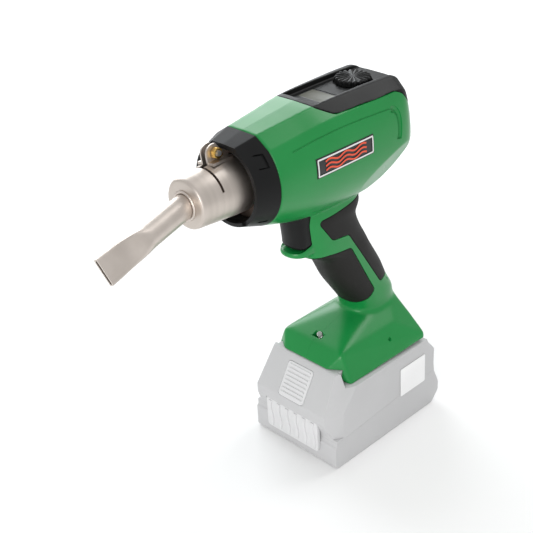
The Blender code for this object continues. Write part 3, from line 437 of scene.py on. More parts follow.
def rod(name, start, end, radius, sides=48, end_radius=None):
    """A round bar or a cone between two points in mm."""
    drop_selection()
    start, end = Vector(start) * MM, Vector(end) * MM
    bpy.ops.mesh.primitive_cone_add(
        vertices=sides, radius1=radius * MM, radius2=(end_radius or radius) * MM,
        depth=(end - start).length, location=(start + end) / 2,
        rotation=(end - start).to_track_quat("Z", "Y").to_euler())
    made = bpy.context.object
    made.name = name
    bpy.ops.object.transform_apply(location=True, rotation=True, scale=True)
    return made


def plate(name, outline, start, end, place):
    """An outline in mm, cut from a filled circle with one vertex a corner, then extruded."""
    drop_selection()
    bpy.ops.mesh.primitive_circle_add(vertices=len(outline), radius=1, fill_type="NGON")
    made = bpy.context.object
    made.name = name
    for vertex, (a, b) in zip(made.data.vertices, outline):
        vertex.co = place(a, b, start) * MM
    edit(made)
    depth = (place(0, 0, end) - place(0, 0, start)) * MM
    bpy.ops.mesh.extrude_region_move(TRANSFORM_OT_translate={"value": depth})
    leave()
    faces_out(made)
    return made


def beyond(name, point, normal):
    """A large block whose base lies on a plane, to cut away all that is outside it."""
    drop_selection()
    turn = Vector(normal).to_track_quat("Z", "Y")
    place = (Vector(point) + turn @ Vector((0, 0, 60))) * MM
    bpy.ops.mesh.primitive_cube_add(size=120 * MM, location=place, rotation=turn.to_euler())
    made = bpy.context.object
    made.name = name
    bpy.ops.object.transform_apply(location=True, rotation=True, scale=True)
    return made


def side_on(y, z, x):
    """Places a side view's outline, so that plate() extrudes it across the tool."""
    return Vector((x, y, z))


def front_on(x, z, y):
    """Places a front view's outline, so that plate() extrudes it along the tool."""
    return Vector((x, y, z))


def drawn(name, around, along, place):
    """A capped tube: place(t, turn) puts its vertices, t from 0 to 1 and turn from -pi to pi."""
    drop_selection()
    bpy.ops.mesh.primitive_cylinder_add(vertices=around, radius=1, depth=1, end_fill_type="NGON")
    made = bpy.context.object
    made.name = name
    points = made.data.vertices
    edit(made, lambda e: abs(points[e.vertices[0]].co.z - points[e.vertices[1]].co.z) > 0.5, "EDGE")
    if along > 1:
        bpy.ops.mesh.subdivide(number_cuts=along - 1)
    leave()
    for vertex in made.data.vertices:
        vertex.co = place(vertex.co.z + 0.5, math.atan2(vertex.co.x, vertex.co.y)) * MM
    faces_out(made)
    return made


def ring_walled(name, around, profile_count, place):
    """A tube with a wall: a torus whose small circles take the wall's profile, place(k, turn)."""
    drop_selection()
    bpy.ops.mesh.primitive_torus_add(
        major_segments=around, minor_segments=profile_count, major_radius=1, minor_radius=0.2)
    made = bpy.context.object
    made.name = name
    for i, vertex in enumerate(made.data.vertices):
        step, k = divmod(i, profile_count)
        vertex.co = place(k, 2 * math.pi * step / around) * MM
    faces_out(made)
    return made


# %% Curves through tables, and outlines with rounded corners


def between(rows, t):
    """A smooth row between the rows of a table, t running from 0 to 1 over all of them."""
    last = len(rows) - 1
    at = min(int(t * last), last - 1)
    f = t * last - at
    four = [rows[max(0, at - 1)], rows[at], rows[at + 1], rows[min(last, at + 2)]]
    return [b + 0.5 * f * (c - a + f * (2 * a - 5 * b + 4 * c - d + f * (3 * b - a - 3 * c + d)))
            for a, b, c, d in zip(*four)]


def rounded(outline, radius, steps=5):
    """Each corner becomes a short curve that starts and ends radius away from it."""
    made = []
    count = len(outline)
    for i in range(count):
        before, corner, after = (Vector(outline[(i + k) % count]) for k in (-1, 0, 1))
        first = corner + (before - corner).normalized() * min(radius, (before - corner).length * 0.45)
        last = corner + (after - corner).normalized() * min(radius, (after - corner).length * 0.45)
        for step in range(steps + 1):
            t = step / steps
            point = first * (1 - t) ** 2 + corner * 2 * t * (1 - t) + last * t ** 2
            made.append((point.x, point.y))
    return made


def grown(outline, amount):
    """Offsets a closed outline outwards by amount."""
    count = len(outline)
    area = sum(outline[i][0] * outline[(i + 1) % count][1] - outline[(i + 1) % count][0] * outline[i][1]
               for i in range(count))
    turn = 1 if area > 0 else -1
    made = []
    for i in range(count):
        before, corner, after = (Vector(outline[(i + k) % count]) for k in (-1, 0, 1))
        first, last = (corner - before).normalized(), (after - corner).normalized()
        first_out, last_out = (Vector((v.y, -v.x)) * turn for v in (first, last))
        point = corner + (first_out + last_out) * amount / max(0.4, 1 + first_out.dot(last_out))
        made.append((point.x, point.y))
    return made


# %% Handing a piece over


def place_piece(item, body, slot, material, *stands_for, smooth=30):
    """Shading, finish, body, and hiding the CAD nodes that the piece stands for; slot is not used."""
    take(item)
    bpy.ops.object.shade_smooth_by_angle(angle=math.radians(smooth))
    if material:
        item.data.materials.clear()
        item.data.materials.append(material)
    if stands_for:
        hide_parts(*stands_for)
    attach(item, body)
    print(item.name, len(item.data.polygons), "faces")


# %% [markdown]
# ## The body's form
# The clamshell is one form before it is cut into pieces: a faceted barrel, an oval handle, a lip
# under the trigger and a foot. Each is drawn on its own, then all are joined, remeshed evenly and
# relaxed, which melts the joints together the way a mould maker fillets them. A subdivision cage
# could give the same flow, but its edge loops are hard to keep where five forms meet.

# %% Sections of the body, in mm
AXIS_Z, TUBE_Z = 246.0, 245.4
WALL, HANDLE_WALL, GAP = 2.6, 3.8, 0.3
# y, top, facet half-width, facet z, crease x, crease z, half-width, height of widest line, bottom
BARREL = [
    (-94.2, 279.4, 13.3, 279.1, 24.5, 271.5, 34.5, 246.0, 211.5),
    (-66.0, 282.6, 15.3, 282.0, 26.5, 274.2, 35.4, 246.0, 203.0),
    (-40.0, 284.9, 17.2, 284.4, 28.6, 276.6, 35.9, 246.0, 199.0),
    (0.0, 285.0, 19.0, 284.6, 30.0, 277.2, 36.0, 246.0, 198.5),
    (24.0, 284.4, 20.0, 284.0, 30.0, 276.8, 35.4, 245.0, 202.0),
    (34.0, 283.6, 20.0, 283.2, 29.5, 275.5, 34.0, 243.0, 206.5),
    (40.0, 279.8, 19.3, 279.0, 26.8, 271.0, 30.8, 241.0, 211.0),
    (44.5, 270.5, 16.5, 269.5, 23.5, 264.0, 27.3, 239.0, 216.5),
    (48.2, 257.0, 12.0, 256.0, 18.0, 252.5, 21.5, 237.0, 223.0),
    (50.5, 245.5, 8.0, 245.0, 11.5, 243.0, 14.0, 236.0, 229.0),
]
COLLAR = [(-111.0, 275.6, 10.7, 275.3, 20.8, 266.8, 29.3, AXIS_Z, 217.0), (-94.5,) + BARREL[0][1:]]
# z, centre y, half-depth, half-width
HANDLE = [
    (96.0, 25.0, 22.0, 16.6), (107.0, 23.0, 23.0, 17.2), (120.0, 15.0, 24.0, 17.0),
    (135.0, 6.5, 25.7, 17.0), (154.0, -4.0, 25.0, 17.2), (160.0, -9.0, 27.0, 17.2),
    (166.0, -15.5, 30.5, 17.2), (176.0, -19.7, 29.2, 17.2), (187.0, -22.2, 28.2, 17.2),
    (197.0, -20.5, 30.5, 17.2), (214.0, -20.0, 26.0, 15.0),
]
LIP = [(168.4, -44.0, 9.0, 8.8), (170.9, -46.5, 13.6, 12.0), (174.4, -46.0, 14.2, 12.4),
       (177.5, -44.0, 12.0, 12.2)]
BELLY_POINT, BELLY_NORMAL = Vector((25.0, 16.9, 219.0)), Vector((0.829, 0.162, -0.535))
FOOT_NECK = (97.5, 25.3, 21.3, 12.5)
NECK_LEAN, NECK_CURVE = 2.5, 4.0
FOOT_CORNERS = [
    (25.6, -35.2, 88.8), (21.6, -45.9, 75.9), (29.6, -37.0, 88.0), (33.4, -37.9, 74.3),
    (39.4, -36.2, 63.6), (30.5, 24.0, 87.5), (42.2, 46.0, 66.6), (41.0, 47.5, 71.0),
    (33.0, 49.5, 72.0),
]


def section_point(station, turn, inset=0.0):
    """A point of the barrel's section: two flats and a slanting facet over a round belly."""
    y, top, facet_half, facet_z, crease_x, crease_z, half, middle, bottom = station
    share = abs(turn) / math.pi * 64
    if share <= 9:
        x, z = facet_half * share / 9, top + (facet_z - top) * share / 9
    elif share <= 18:
        k = (share - 9) / 9
        x, z = facet_half + (crease_x - facet_half) * k, facet_z + (crease_z - facet_z) * k
    else:
        crease_angle = math.acos(crease_x / half)
        angle, height = -math.pi / 2 * (share - 40) / 24, middle - bottom
        if share <= 40:
            angle, height = crease_angle * (40 - share) / 22, (crease_z - middle) / math.sin(crease_angle)
        x, z = half * math.cos(angle), middle + height * math.sin(angle)
    factor = max(0.1, 1 - inset / math.hypot(x, z - middle))
    return Vector((math.copysign(x, turn) * factor, y, middle + (z - middle) * factor))


def barrel_form(name, inset=0.0):
    """The barrel, with a slanting flat cut under each side of its rear."""
    made = drawn(name, 128, 80, lambda t, turn: section_point(between(BARREL, t), turn, inset))
    for side in (-1, 1):
        normal = Vector((side * BELLY_NORMAL.x, BELLY_NORMAL.y, BELLY_NORMAL.z)).normalized()
        place = Vector((side * BELLY_POINT.x, BELLY_POINT.y, BELLY_POINT.z)) - normal * inset
        cut(made, beyond("belly_flat", place, normal))
    return made


def oval_point(row, turn, power, inset=0.0):
    z, centre, depth, half = row
    x = math.copysign(abs(math.sin(turn)) ** (2 / power), turn) * (half - inset)
    y = math.copysign(abs(math.cos(turn)) ** (2 / power), math.cos(turn)) * (depth - inset)
    return Vector((x, centre + y, z))


def handle_form(name, inset=0.0):
    return drawn(name, 80, 70, lambda t, turn: oval_point(between(HANDLE, t), turn, 2.6, inset))


def lip_form(name, inset=0.0):
    return drawn(name, 64, 12, lambda t, turn: oval_point(between(LIP, t), turn, 2.2, inset))


def foot_form(name):
    """The hull of a curved, leaning oval in the handle and the foot's corners, then melted."""
    neck = [oval_point(FOOT_NECK, 2 * math.pi * i / 40 - math.pi, 2.6) for i in range(40)]
    for point in neck:
        reach = (point.y - FOOT_NECK[1]) / FOOT_NECK[2]
        point.z += NECK_LEAN * reach + NECK_CURVE * reach * reach
    corners = [Vector((side * x, y, z)) for x, y, z in FOOT_CORNERS for side in (-1, 1)]
    drop_selection()
    bpy.ops.mesh.primitive_circle_add(vertices=len(neck + corners), radius=1)
    made = bpy.context.object
    made.name = name
    for vertex, point in zip(made.data.vertices, neck + corners):
        vertex.co = point * MM
    edit(made)
    bpy.ops.mesh.convex_hull()
    leave()
    faces_out(made)
    melt(made, 1.1, 5)
    return made


# %% One melted form
body_form = barrel_form("body_form")
join(body_form, handle_form("handle"), lip_form("lip"), foot_form("foot"))
melt(body_form, 0.85, 4)

neck_group = body_form.vertex_groups.new(name="neck")
for vertex in body_form.data.vertices:
    nearness = 1 - abs(vertex.co.z / MM - 97) / 13
    if nearness > 0:
        neck_group.add([vertex.index], min(1.0, nearness * 1.6), "REPLACE")
bake(body_form, "SMOOTH", factor=0.5, iterations=75, vertex_group="neck")
body_form.vertex_groups.clear()
cut(body_form, plate("skirt_trim", [(-70, 64.2), (70, 69.2), (70, 40), (-70, 40)], -60, 60, side_on))
print("body form:", len(body_form.data.polygons), "faces")

# %% [markdown]
# ## Clamshell halves
# The form is hollowed, given screw bosses, and cut where the other pieces sit: the control cover,
# the rubber grips, the trigger and the pack's bay. A shallow groove follows the flank and widens
# into the air inlet at the rear. The last cut leaves a hairline seam down the middle.

# %% Outlines of the pieces let into the body, in mm
COVER_EDGE = rounded([(-45.4, 284.2), (-38.2, 280.1), (-34.0, 278.0), (25.0, 277.0), (31.0, 274.0),
                      (38.6, 265.0), (46.0, 261.0), (70.0, 261.0), (70.0, 310.0), (-45.4, 310.0)], 2.0, 3)
REAR_GRIP = rounded([(-38.7, 196.0), (-39.9, 193.0), (-29.0, 177.0), (-12.0, 175.0), (23.0, 120.0),
                     (29.0, 121.0), (70.0, 124.0), (70.0, 203.0), (12.0, 201.5)], 2.4)
FRONT_GRIP = rounded([(-60.0, 164.5), (-32.6, 165.5), (-10.0, 163.4), (16.0, 116.0), (10.0, 110.5),
                      (0.0, 107.5), (-10.0, 107.5), (-60.0, 114.0)], 3.0)
GRIP_DEPTH = 1.6
BOSS_RADIUS, SCREW_HOLE, HEAD_HOLE = 3.4, 1.65, 3.0


def barrel_at(y):
    """The barrel's section row at a distance along it."""
    low, high = 0.0, 1.0
    for _ in range(30):
        middle = (low + high) / 2
        if between(BARREL, middle)[0] < y:
            low = middle
        else:
            high = middle
    return between(BARREL, low)


def flank_x(y, z):
    """How far out the barrel's flank is at a point of the side view."""
    _, _, _, _, crease_x, crease_z, half, middle, bottom = barrel_at(y)
    height = middle - bottom
    if z > middle:
        height = (crease_z - middle) / math.sqrt(1 - (crease_x / half) ** 2)
    return half * math.sqrt(max(0.0, 1 - ((z - middle) / height) ** 2))


def groove(name, route, side, width, depth):
    """A wire laid along the flank, to be cut away; its route is in the side view."""
    curve = bpy.data.curves.new(name, "CURVE")
    curve.dimensions = "3D"
    curve.bevel_depth = width / 2 * MM
    curve.bevel_resolution = 2
    curve.use_fill_caps = True
    line = curve.splines.new("POLY")
    line.points.add(len(route) - 1)
    for point, (y, z) in zip(line.points, route):
        out = flank_x(y, z) + width / 2 - depth
        point.co = (*(Vector((side * out, y, z)) * MM), 1.0)
    wire = bpy.data.objects.new(name, curve)
    bpy.context.collection.objects.link(wire)
    take(wire)
    bpy.ops.object.convert(target="MESH")
    faces_out(wire)
    return wire


# %% Hollow, bosses and cuts
shell = copy_of(body_form, "shell")
hollow = barrel_form("hollow", WALL)
join(hollow, handle_form("handle_hollow", HANDLE_WALL),
      rod("mouth", (0, -100, TUBE_Z), (0, -90, TUBE_Z), 30.4, 96),
     block("foot_hollow", (-24, -22, 70), (24, 44, 87.5)))
cut(shell, hollow)

screws = []
for number in range(1, 7):
    low, high = (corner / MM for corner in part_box(f"housing_screw_{number}"))
    screws.append((1.6 - low.x, (low.y + high.y) / 2, (low.z + high.z) / 2))
for edge, y, z in screws:
    boss = rod("boss", (-edge + 1.2, y, z), (min(edge - 0.9, 25.0), y, z), BOSS_RADIUS, 32)
    if z > 200:
        keep_inside(boss, barrel_form("boss_room", 1.2))
    join(shell, boss)
for edge, y, z in screws:
    cut(shell, rod("shank_hole", (-edge + 3, y, z), (10, y, z), SCREW_HOLE, 32),
        rod("head_hole", (-60, y, z), (-edge + 4, y, z), HEAD_HOLE, 40))

TRIGGER_SLOT = rounded([(-11.5, 174.5), (11.5, 174.5), (11.5, 203.4), (-11.5, 203.4)], 3.2)
cut(shell, block("bay", (-32, -80, 40), (32, 80, 76.2)),
    plate("trigger_slot", TRIGGER_SLOT, -80, -31.5, front_on),
    plate("cover_space", grown(COVER_EDGE, GAP), -60, 60, side_on))
for outline in (REAR_GRIP, FRONT_GRIP):
    pocket = plate("grip_space", grown(outline, GAP), -40, 40, side_on)
    cut(pocket, handle_form("grip_bed", GRIP_DEPTH + GAP), barrel_form("barrel_keep", 0.25),
        lip_form("lip_keep"))
    cut(shell, pocket)
print("shell:", len(shell.data.polygons), "faces")

# %% Flank groove, air inlet, pin holes and lamp window
FLANK_LINE = [(-78.0, 266.5), (-68.0, 267.6), (-56.0, 268.7), (-46.0, 269.3), (-37.0, 269.7), (-26.0, 269.7),
              (-14.0, 269.4), (-2.0, 268.9), (8.0, 268.4), (15.7, 267.8), (19.0, 267.0)]
INLET = [(15.5, 267.3), (18.5, 266.6), (21.0, 264.6), (22.6, 261.5), (23.4, 257.5), (23.6, 253.0),
         (23.2, 248.0), (22.4, 243.5)]
for side in (-1, 1):
    cut(shell, groove("flank_line", FLANK_LINE, side, 1.1, 0.55),
        groove("inlet_trough", INLET, side, 5.4, 2.0),
        groove("inlet_slit", INLET[2:-1], side, 1.4, 5.2),
        rod("pin_hole", (side * 34, 12, 80), (side * 60, 12, 80), 1.6, 32))
cut(shell, rod("lamp_hole", (0, -24.6, 79.4), (0, -31.5, 96.0), 2.6, 32),
    block("lamp_window", (-4.6, -31.2, 87.2), (4.6, -26.4, 100), tilt=(-21, 0, 0)))

# %% Two halves with a hairline seam
for name, low, high in (("shell_left", 0.04, 80), ("shell_right", -80, -0.04)):
    half = keep_inside(copy_of(shell, name), block("half", (low, -150, 0), (high, 100, 330)))
    place_piece(half, "tool", "green_housing_plastic", GREEN, name.replace("shell", "housing"), smooth=35)
bpy.data.objects.remove(shell)

# %% [markdown]
# ## Control cover, display and dial
# The black cover is the top of the same form, so it is cut from a copy of it and its edges are
# melted a little by a fine remesh. A tray in it holds the display window and the dial. The dial is
# drawn through rings whose radius and height ripple, which gives fluted sides and a ribbed face.

# %% Control cover
cover = keep_inside(copy_of(body_form, "control_cover"),
                    plate("cover_outline", COVER_EDGE, -60, 60, side_on))
under = keep_inside(barrel_form("cover_under", WALL), block("below_floor", (-60, -120, 200), (60, 47, 277.6)))
cut(cover, under,
    block("tray", (-15.6, -40, 281.0), (15.6, 80, 300)),
    block("window", (-12.8, -30.4, 270), (12.8, -13.6, 300)),
    rod("dial_recess", (0, 14, 279.0), (0, 14, 300), 14.0, 96),
    rod("plunger_hole", (0, 14, 270), (0, 14, 300), 3.4, 32))
melt(cover, 0.5, 3)
place_piece(cover, "tool", "black_housing_plastic", BLACK, "top_cover", smooth=40)

# %% Display window: a dark border round a pale screen
low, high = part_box("display_lens")
low, high = low - Vector((1.5, 1.9, 0)) * MM, high + Vector((1.5, 0.1, 0)) * MM
window = block("display_window", low / MM, high / MM)
edit(window, lambda face: face.normal.z > 0.9)
bpy.ops.mesh.inset(thickness=0.7 * MM)
bpy.ops.mesh.extrude_region_move(TRANSFORM_OT_translate={"value": (0, 0, -0.15 * MM)})
leave()
soften(window, 0.12, 2)
window.data.materials.append(INK)
window.data.materials.append(GLASSY)
for face in window.data.polygons:
    inside = abs(face.center.x) < high.x - 0.8 * MM and face.normal.z > 0.9
    face.material_index = 1 if inside and face.center.z < high.z - 0.05 * MM else 0
place_piece(window, "tool", "display_window", None, "display_lens")

# %% Dial
FLUTES = 18
# radius, height, depth of the flutes, depth of the ribs on the face
DIAL = [(11.4, 280.3, 0.5, 0), (12.9, 280.7, 1.0, 0), (13.1, 281.8, 1.3, 0), (13.1, 283.6, 1.3, 0),
        (12.7, 284.7, 1.2, 0.5), (11.6, 285.2, 0.5, 1.2), (9.0, 285.2, 0.0, 1.1), (5.0, 285.1, 0, 0.6),
        (2.4, 285.0, 0, 0.1), (0.7, 285.0, 0, 0)]


def dial_point(t, turn):
    radius, z, flute, rib = between(DIAL, t)
    ripple = (0.5 + 0.5 * math.cos(FLUTES * turn)) ** 1.6
    reach = radius - flute * ripple
    return Vector((reach * math.sin(turn), 14 + reach * math.cos(turn), z - rib * ripple))


dial = drawn("dial_knob", FLUTES * 12, 45, dial_point)
cut(dial, rod("knob_bore", (0, 14, 275), (0, 14, 283.2), 3.2, 32))
place_piece(dial, "dial", "black_housing_plastic", BLACK, "temperature_dial", smooth=50)

# %% [markdown]
# ## Rubber grips
# The two pads are skins of the handle's own form, let into pockets of the shell. A remesh and a few
# smoothing steps round their rims, as soft rubber moulded over a lip has no sharp edge.

# %% Grips
for name, outline in (("grip_rear", REAR_GRIP), ("grip_front", FRONT_GRIP)):
    pad = keep_inside(plate(name + "_pad", outline, -40, 40, side_on), handle_form("handle_skin", -0.05))
    cut(pad, handle_form("pad_bed", GRIP_DEPTH), barrel_form("barrel_keep", -GAP),
        lip_form("lip_keep", -GAP))
    melt(pad, 0.55, 4)
    place_piece(pad, "tool", "grip_rubber", RUBBER, name, smooth=60)
bpy.data.objects.remove(body_form)

# %% [markdown]
# ## Front collar
# The collar carries the barrel's facets forward to a smaller mouth, so it is drawn between two of
# the same sections. Its facet creases stay crisp and only the rims get a small bevel. A snap tongue
# shows on the flank as a U of narrow slots.

# %% Collar


def collar_form(name, inset=0.0):
    def point(t, turn):
        row = [a + (b - a) * t for a, b in zip(*COLLAR)]
        return section_point(row, turn, inset)
    return drawn(name, 128, 10, point)


collar = collar_form("collar")
cut(collar, rod("recess", (0, -130, AXIS_Z), (0, -97.3, AXIS_Z), 26.4, 128),
    rod("floor_hole", (0, -130, AXIS_Z), (0, -80, AXIS_Z), 22.5, 96),
    block("rim_notch", (12.5, -120, 216), (17.0, -108.8, 228)))
for side in (-1, 1):
    reach = sorted((side * 20, side * 40))
    tongue = block("slot_end", (reach[0], -100.0, 262.6), (reach[1], -98.2, 270.8))
    join(tongue, block("slot_top", (reach[0], -108.0, 269.9), (reach[1], -99, 270.8)),
         block("slot_foot", (reach[0], -105.0, 262.6), (reach[1], -99, 263.4)))
    snap_reach = sorted((side * 20, side * 36))
    snap = block("snap", (snap_reach[0], -104.5, 222.4), (snap_reach[1], -98.5, 224.2))
    cut(tongue, collar_form("slot_floor", 1.5))
    cut(snap, collar_form("snap_floor", 0.9))
    cut(collar, tongue, snap)
soften(collar, 0.45, 2, 32)
place_piece(collar, "tool", "black_housing_plastic", BLACK, "front_collar", smooth=12)

# %% [markdown]
# ## Nozzle sleeve
# The sleeve is a thin steel cup turned about the barrel's axis, with a slit that lets two ears pull
# it tight round the heater tube. The turned wall comes from a torus primitive, because that already
# has the closed weave of faces a thin ring needs; the ears are plates joined to it.

# %% Turned wall
SLEEVE = [(20.2, -104.0), (20.0, -112.0), (18.7, -130.0), (17.6, -144.6), (17.3, -145.6), (16.7, -146.3),
          (15.8, -146.7), (14.8, -146.8),
          (5.0, -146.8), (5.0, -145.6), (16.5, -145.6), (17.7, -130.0), (19.0, -112.0), (19.2, -104.0)]
LEAN = math.radians(10)
AWAY, ACROSS = Vector((-math.sin(LEAN), 0, math.cos(LEAN))), Vector((math.cos(LEAN), 0, math.sin(LEAN)))
CENTRE = Vector((0, 0, AXIS_Z))
EAR_INNER, EAR_OUTER = 2.0, 3.2
TUBE_RADIUS = 8.3


def turned_point(profile):
    def point(k, turn):
        radius, y = profile[k]
        return Vector((radius * math.cos(turn), y, AXIS_Z + radius * math.sin(turn)))
    return point


def on_ear(y, radius, across):
    return CENTRE + AWAY * radius + ACROSS * across + Vector((0, y, 0))


def clamp_point(across):
    return on_ear(-117.5, 25.3, across)


sleeve = ring_walled("nozzle_cup", 128, len(SLEEVE), turned_point(SLEEVE))

# %% Ears, flanges and slits
EAR = [(-124.6, 19.0), (-124.6, 25.0)]
EAR += [(-117.6 - 7.0 * math.cos(math.radians(a)), 25.0 + 6.4 * math.sin(math.radians(a)))
        for a in range(8, 105, 8)]
EAR += [(-111.6, 26.0), (-107.5, 24.5), (-106.5, 19.0)]
FLANGE = [(-124.0, 19.0), (-124.0, 20.9), (-107.0, 20.9), (-107.0, 19.0)]
for sign in (-1, 1):
    join(sleeve, plate("ear", EAR, sign * EAR_INNER, sign * EAR_OUTER, on_ear))
    flange = plate("flange", FLANGE, sign * EAR_INNER, sign * 8.0, on_ear)
    edit(flange, lambda v: (v.co / MM - CENTRE).dot(ACROSS) * sign > 5, "VERT")
    bpy.ops.transform.translate(value=-AWAY * 0.54 * MM)
    leave()
    join(sleeve, flange)
gap = [(-129.0, 15.0), (-95.0, 15.0), (-95.0, 23.0), (-129.0, 23.0)]
cut(sleeve, plate("clamp_gap", gap, -EAR_INNER, EAR_INNER, on_ear),
    block("slit_near", (-4, -129.3, AXIS_Z + 7), (30, -127.5, AXIS_Z + 40)),
    block("slit_far", (-15, -129.3, AXIS_Z + 10), (0, -127.5, AXIS_Z + 40)),
    rod("screw_hole", clamp_point(-10), clamp_point(10), 2.3, 40),
    rod("tube_hole", (0, -152, TUBE_Z), (0, -143, TUBE_Z), TUBE_RADIUS, 64))
soften(sleeve, 0.2, 2, 38)
place_piece(sleeve, "nozzle", "satin_steel", STEEL, "nozzle_sleeve", smooth=25)

# %% Clamp screw and nut
screw = rod("clamp_bolt", clamp_point(-4.0), clamp_point(8.0), 1.9, 40)
join(screw, rod("bolt_head", clamp_point(-6.6), clamp_point(-3.6), 3.5, 48))
cut(screw, rod("socket", clamp_point(-8.0), clamp_point(-4.8), 1.9, 6))
for turn in range(7):
    reach = 5.0 + turn * 0.42
    cut(screw, ring_walled("thread", 32, 3, lambda k, a, r=reach: (
        clamp_point(r + (0.0, 0.2, -0.2)[k])
        + (AWAY * math.cos(a) + Vector((0, 1, 0)) * math.sin(a)) * (1.7, 2.1, 2.1)[k])))
place_piece(screw, "clamp_screw", "screw_steel", PLATED, "clamp_screw", smooth=30)
nut = rod("clamp_nut_hex", clamp_point(3.6), clamp_point(6.8), 4.05, 6)
cut(nut, rod("nut_bore", clamp_point(0), clamp_point(10), 2.25, 40))
soften(nut, 0.35, 3, 40)
place_piece(nut, "nozzle", "brass", BRASS, "clamp_nut", smooth=30)

# %% [markdown]
# ## Bent slot tube
# A round steel tube leaves the sleeve at a bend and is pressed flat into a slot at its tip. The same
# torus weave is used, with the wall's outer sections first and its inner ones coming back. Each
# section is a superellipse, so one number takes it from a circle to a flat slot.

# %% Tube
TUBE_WALL = 1.0
BEND, BEND_TURN = math.radians(12.4), math.radians(38.0)
TUBE_LENGTH, FLARE_LENGTH = 75.9, 40.0
SLOT_WIDE, SLOT_HIGH = 19.0, 3.8
sink = Vector((math.sin(BEND_TURN), 0, -math.cos(BEND_TURN)))
ALONG = Vector((0, -math.cos(BEND), 0)) + sink * math.sin(BEND)
ROLL = math.radians(-11.5)
WIDE = Matrix.Rotation(ROLL, 3, ALONG) @ (sink * math.cos(BEND) + Vector((0, math.sin(BEND), 0)))
THIN = ALONG.cross(WIDE)
bend_place = Vector((0, -147.0, TUBE_Z))


def ease(t):
    t = min(1.0, max(0.0, t))
    return t * t * (3 - 2 * t)


def tube_sections():
    """Centre, wide and thin directions, half-width, half-thickness and roundness of each section."""
    wide = Vector((WIDE.x, 0, WIDE.z)).normalized()
    thin = Vector((0, -1, 0)).cross(wide)
    sections = [(Vector((0, -143.6, TUBE_Z)), wide, thin, TUBE_RADIUS - GAP, TUBE_RADIUS - GAP, 2.0)]
    for i in range(7):
        t = i / 6
        centre = bend_place + ALONG * 6.0 * t * t + Vector((0, -0.4, 0)) * (1 - t) * t
        radius = TUBE_RADIUS - GAP * (1 - t)
        sections.append((centre, wide.lerp(WIDE, t).normalized(), thin.lerp(THIN, t).normalized(),
                         radius, radius, 2.0))
    for i in range(4):
        sections.append((bend_place + ALONG * (10 + 7 * i), WIDE, THIN, TUBE_RADIUS, TUBE_RADIUS, 2.0))
    for i in range(37):
        t = i / 36
        flat, spread = ease(t / 0.6), ease(t)
        distance = TUBE_LENGTH - FLARE_LENGTH * (1 - t)
        sections.append((bend_place + ALONG * distance, WIDE, THIN,
                         TUBE_RADIUS + (SLOT_WIDE / 2 - TUBE_RADIUS) * spread,
                         TUBE_RADIUS + (SLOT_HIGH / 2 - TUBE_RADIUS) * flat, 2.0 + 5.0 * flat))
    return sections


sections = tube_sections()


def tube_point(k, turn):
    """Outer sections out to the tip, then the inner ones back."""
    wall = 0.0 if k < len(sections) else TUBE_WALL
    at = k if wall == 0 else 2 * len(sections) - 1 - k
    centre, wide, thin, half_wide, half_thin, power = sections[at]
    c, s = math.cos(turn), math.sin(turn)
    return (centre + wide * math.copysign(abs(c) ** (2 / power), c) * (half_wide - wall)
            + thin * math.copysign(abs(s) ** (2 / power), s) * (half_thin - wall))


tube = ring_walled("slot_tube", 96, 2 * len(sections), tube_point)
place_piece(tube, "nozzle", "satin_steel", TUBE_STEEL, "nozzle_tube", smooth=40)

# %% Weld bead where the tube meets the sleeve
WELD_RADIUS, WELD_HALF, WELD_HIGH = 9.3, 1.15, 0.85


def weld_point(k, turn):
    """An oval bead with a slight ripple, as a hand-held torch leaves."""
    round_bead = k * math.pi / 4
    reach = WELD_RADIUS + WELD_HALF * math.cos(round_bead) + 0.07 * math.sin(23 * turn)
    y = -147.2 - WELD_HIGH * math.sin(round_bead) - 0.05 * math.sin(31 * turn)
    return Vector((reach * math.cos(turn), y, TUBE_Z + reach * math.sin(turn)))


weld = ring_walled("tube_weld", 96, 8, weld_point)
place_piece(weld, "nozzle", "heat_tinted_steel", TUBE_STEEL, smooth=60)

# %% [markdown]
# ## Trigger
# The trigger is a rounded lever with a flat back that runs in a slot of the shell. It is drawn
# through plan sections: nearly square behind, round in front, and drawn in at its foot so that it
# sits in the cup of the lip like a finger's end.

# %% Trigger
TRIGGER_HALF, TRIGGER_BACK, SHOULDER_Y = 11.1, -38.0, -49.5
# z, front y
TRIGGER = [(174.9, -55.6), (177.5, -57.3), (185.0, -58.3), (195.0, -60.0), (202.9, -61.4)]
FOOT_ROUND = 4.2


def trigger_point(t, turn):
    t = t ** 1.35
    z, front = between(TRIGGER, t)
    drop = max(0.0, FOOT_ROUND - (z - TRIGGER[0][0]))
    shrink = FOOT_ROUND - math.sqrt(max(0.0, FOOT_ROUND ** 2 - drop ** 2))
    power = 7.0 if math.cos(turn) > 0 else 2.2
    depth = TRIGGER_BACK - SHOULDER_Y if math.cos(turn) > 0 else SHOULDER_Y - front
    x = math.copysign(abs(math.sin(turn)) ** (2 / power), turn) * (TRIGGER_HALF - shrink)
    y = math.copysign(abs(math.cos(turn)) ** (2 / power), math.cos(turn)) * (depth - shrink)
    return Vector((x, SHOULDER_Y + y, z))


trigger = drawn("trigger_lever", 96, 40, trigger_point)
soften(trigger, 0.5, 3, 50)
place_piece(trigger, "trigger", "black_housing_plastic", BLACK, "trigger", smooth=35)

# %% [markdown]
# ## Flank plates
# Each flank carries a small printed plate. Its design here is our own: three warm waves for rising
# heat inside a thin frame. A grid primitive is laid on the flank's curve and given thickness.

# %% Plate blanks on the flank
PLATE_LOW, PLATE_HIGH = (-62.0, 243.0), (-6.0, 257.0)


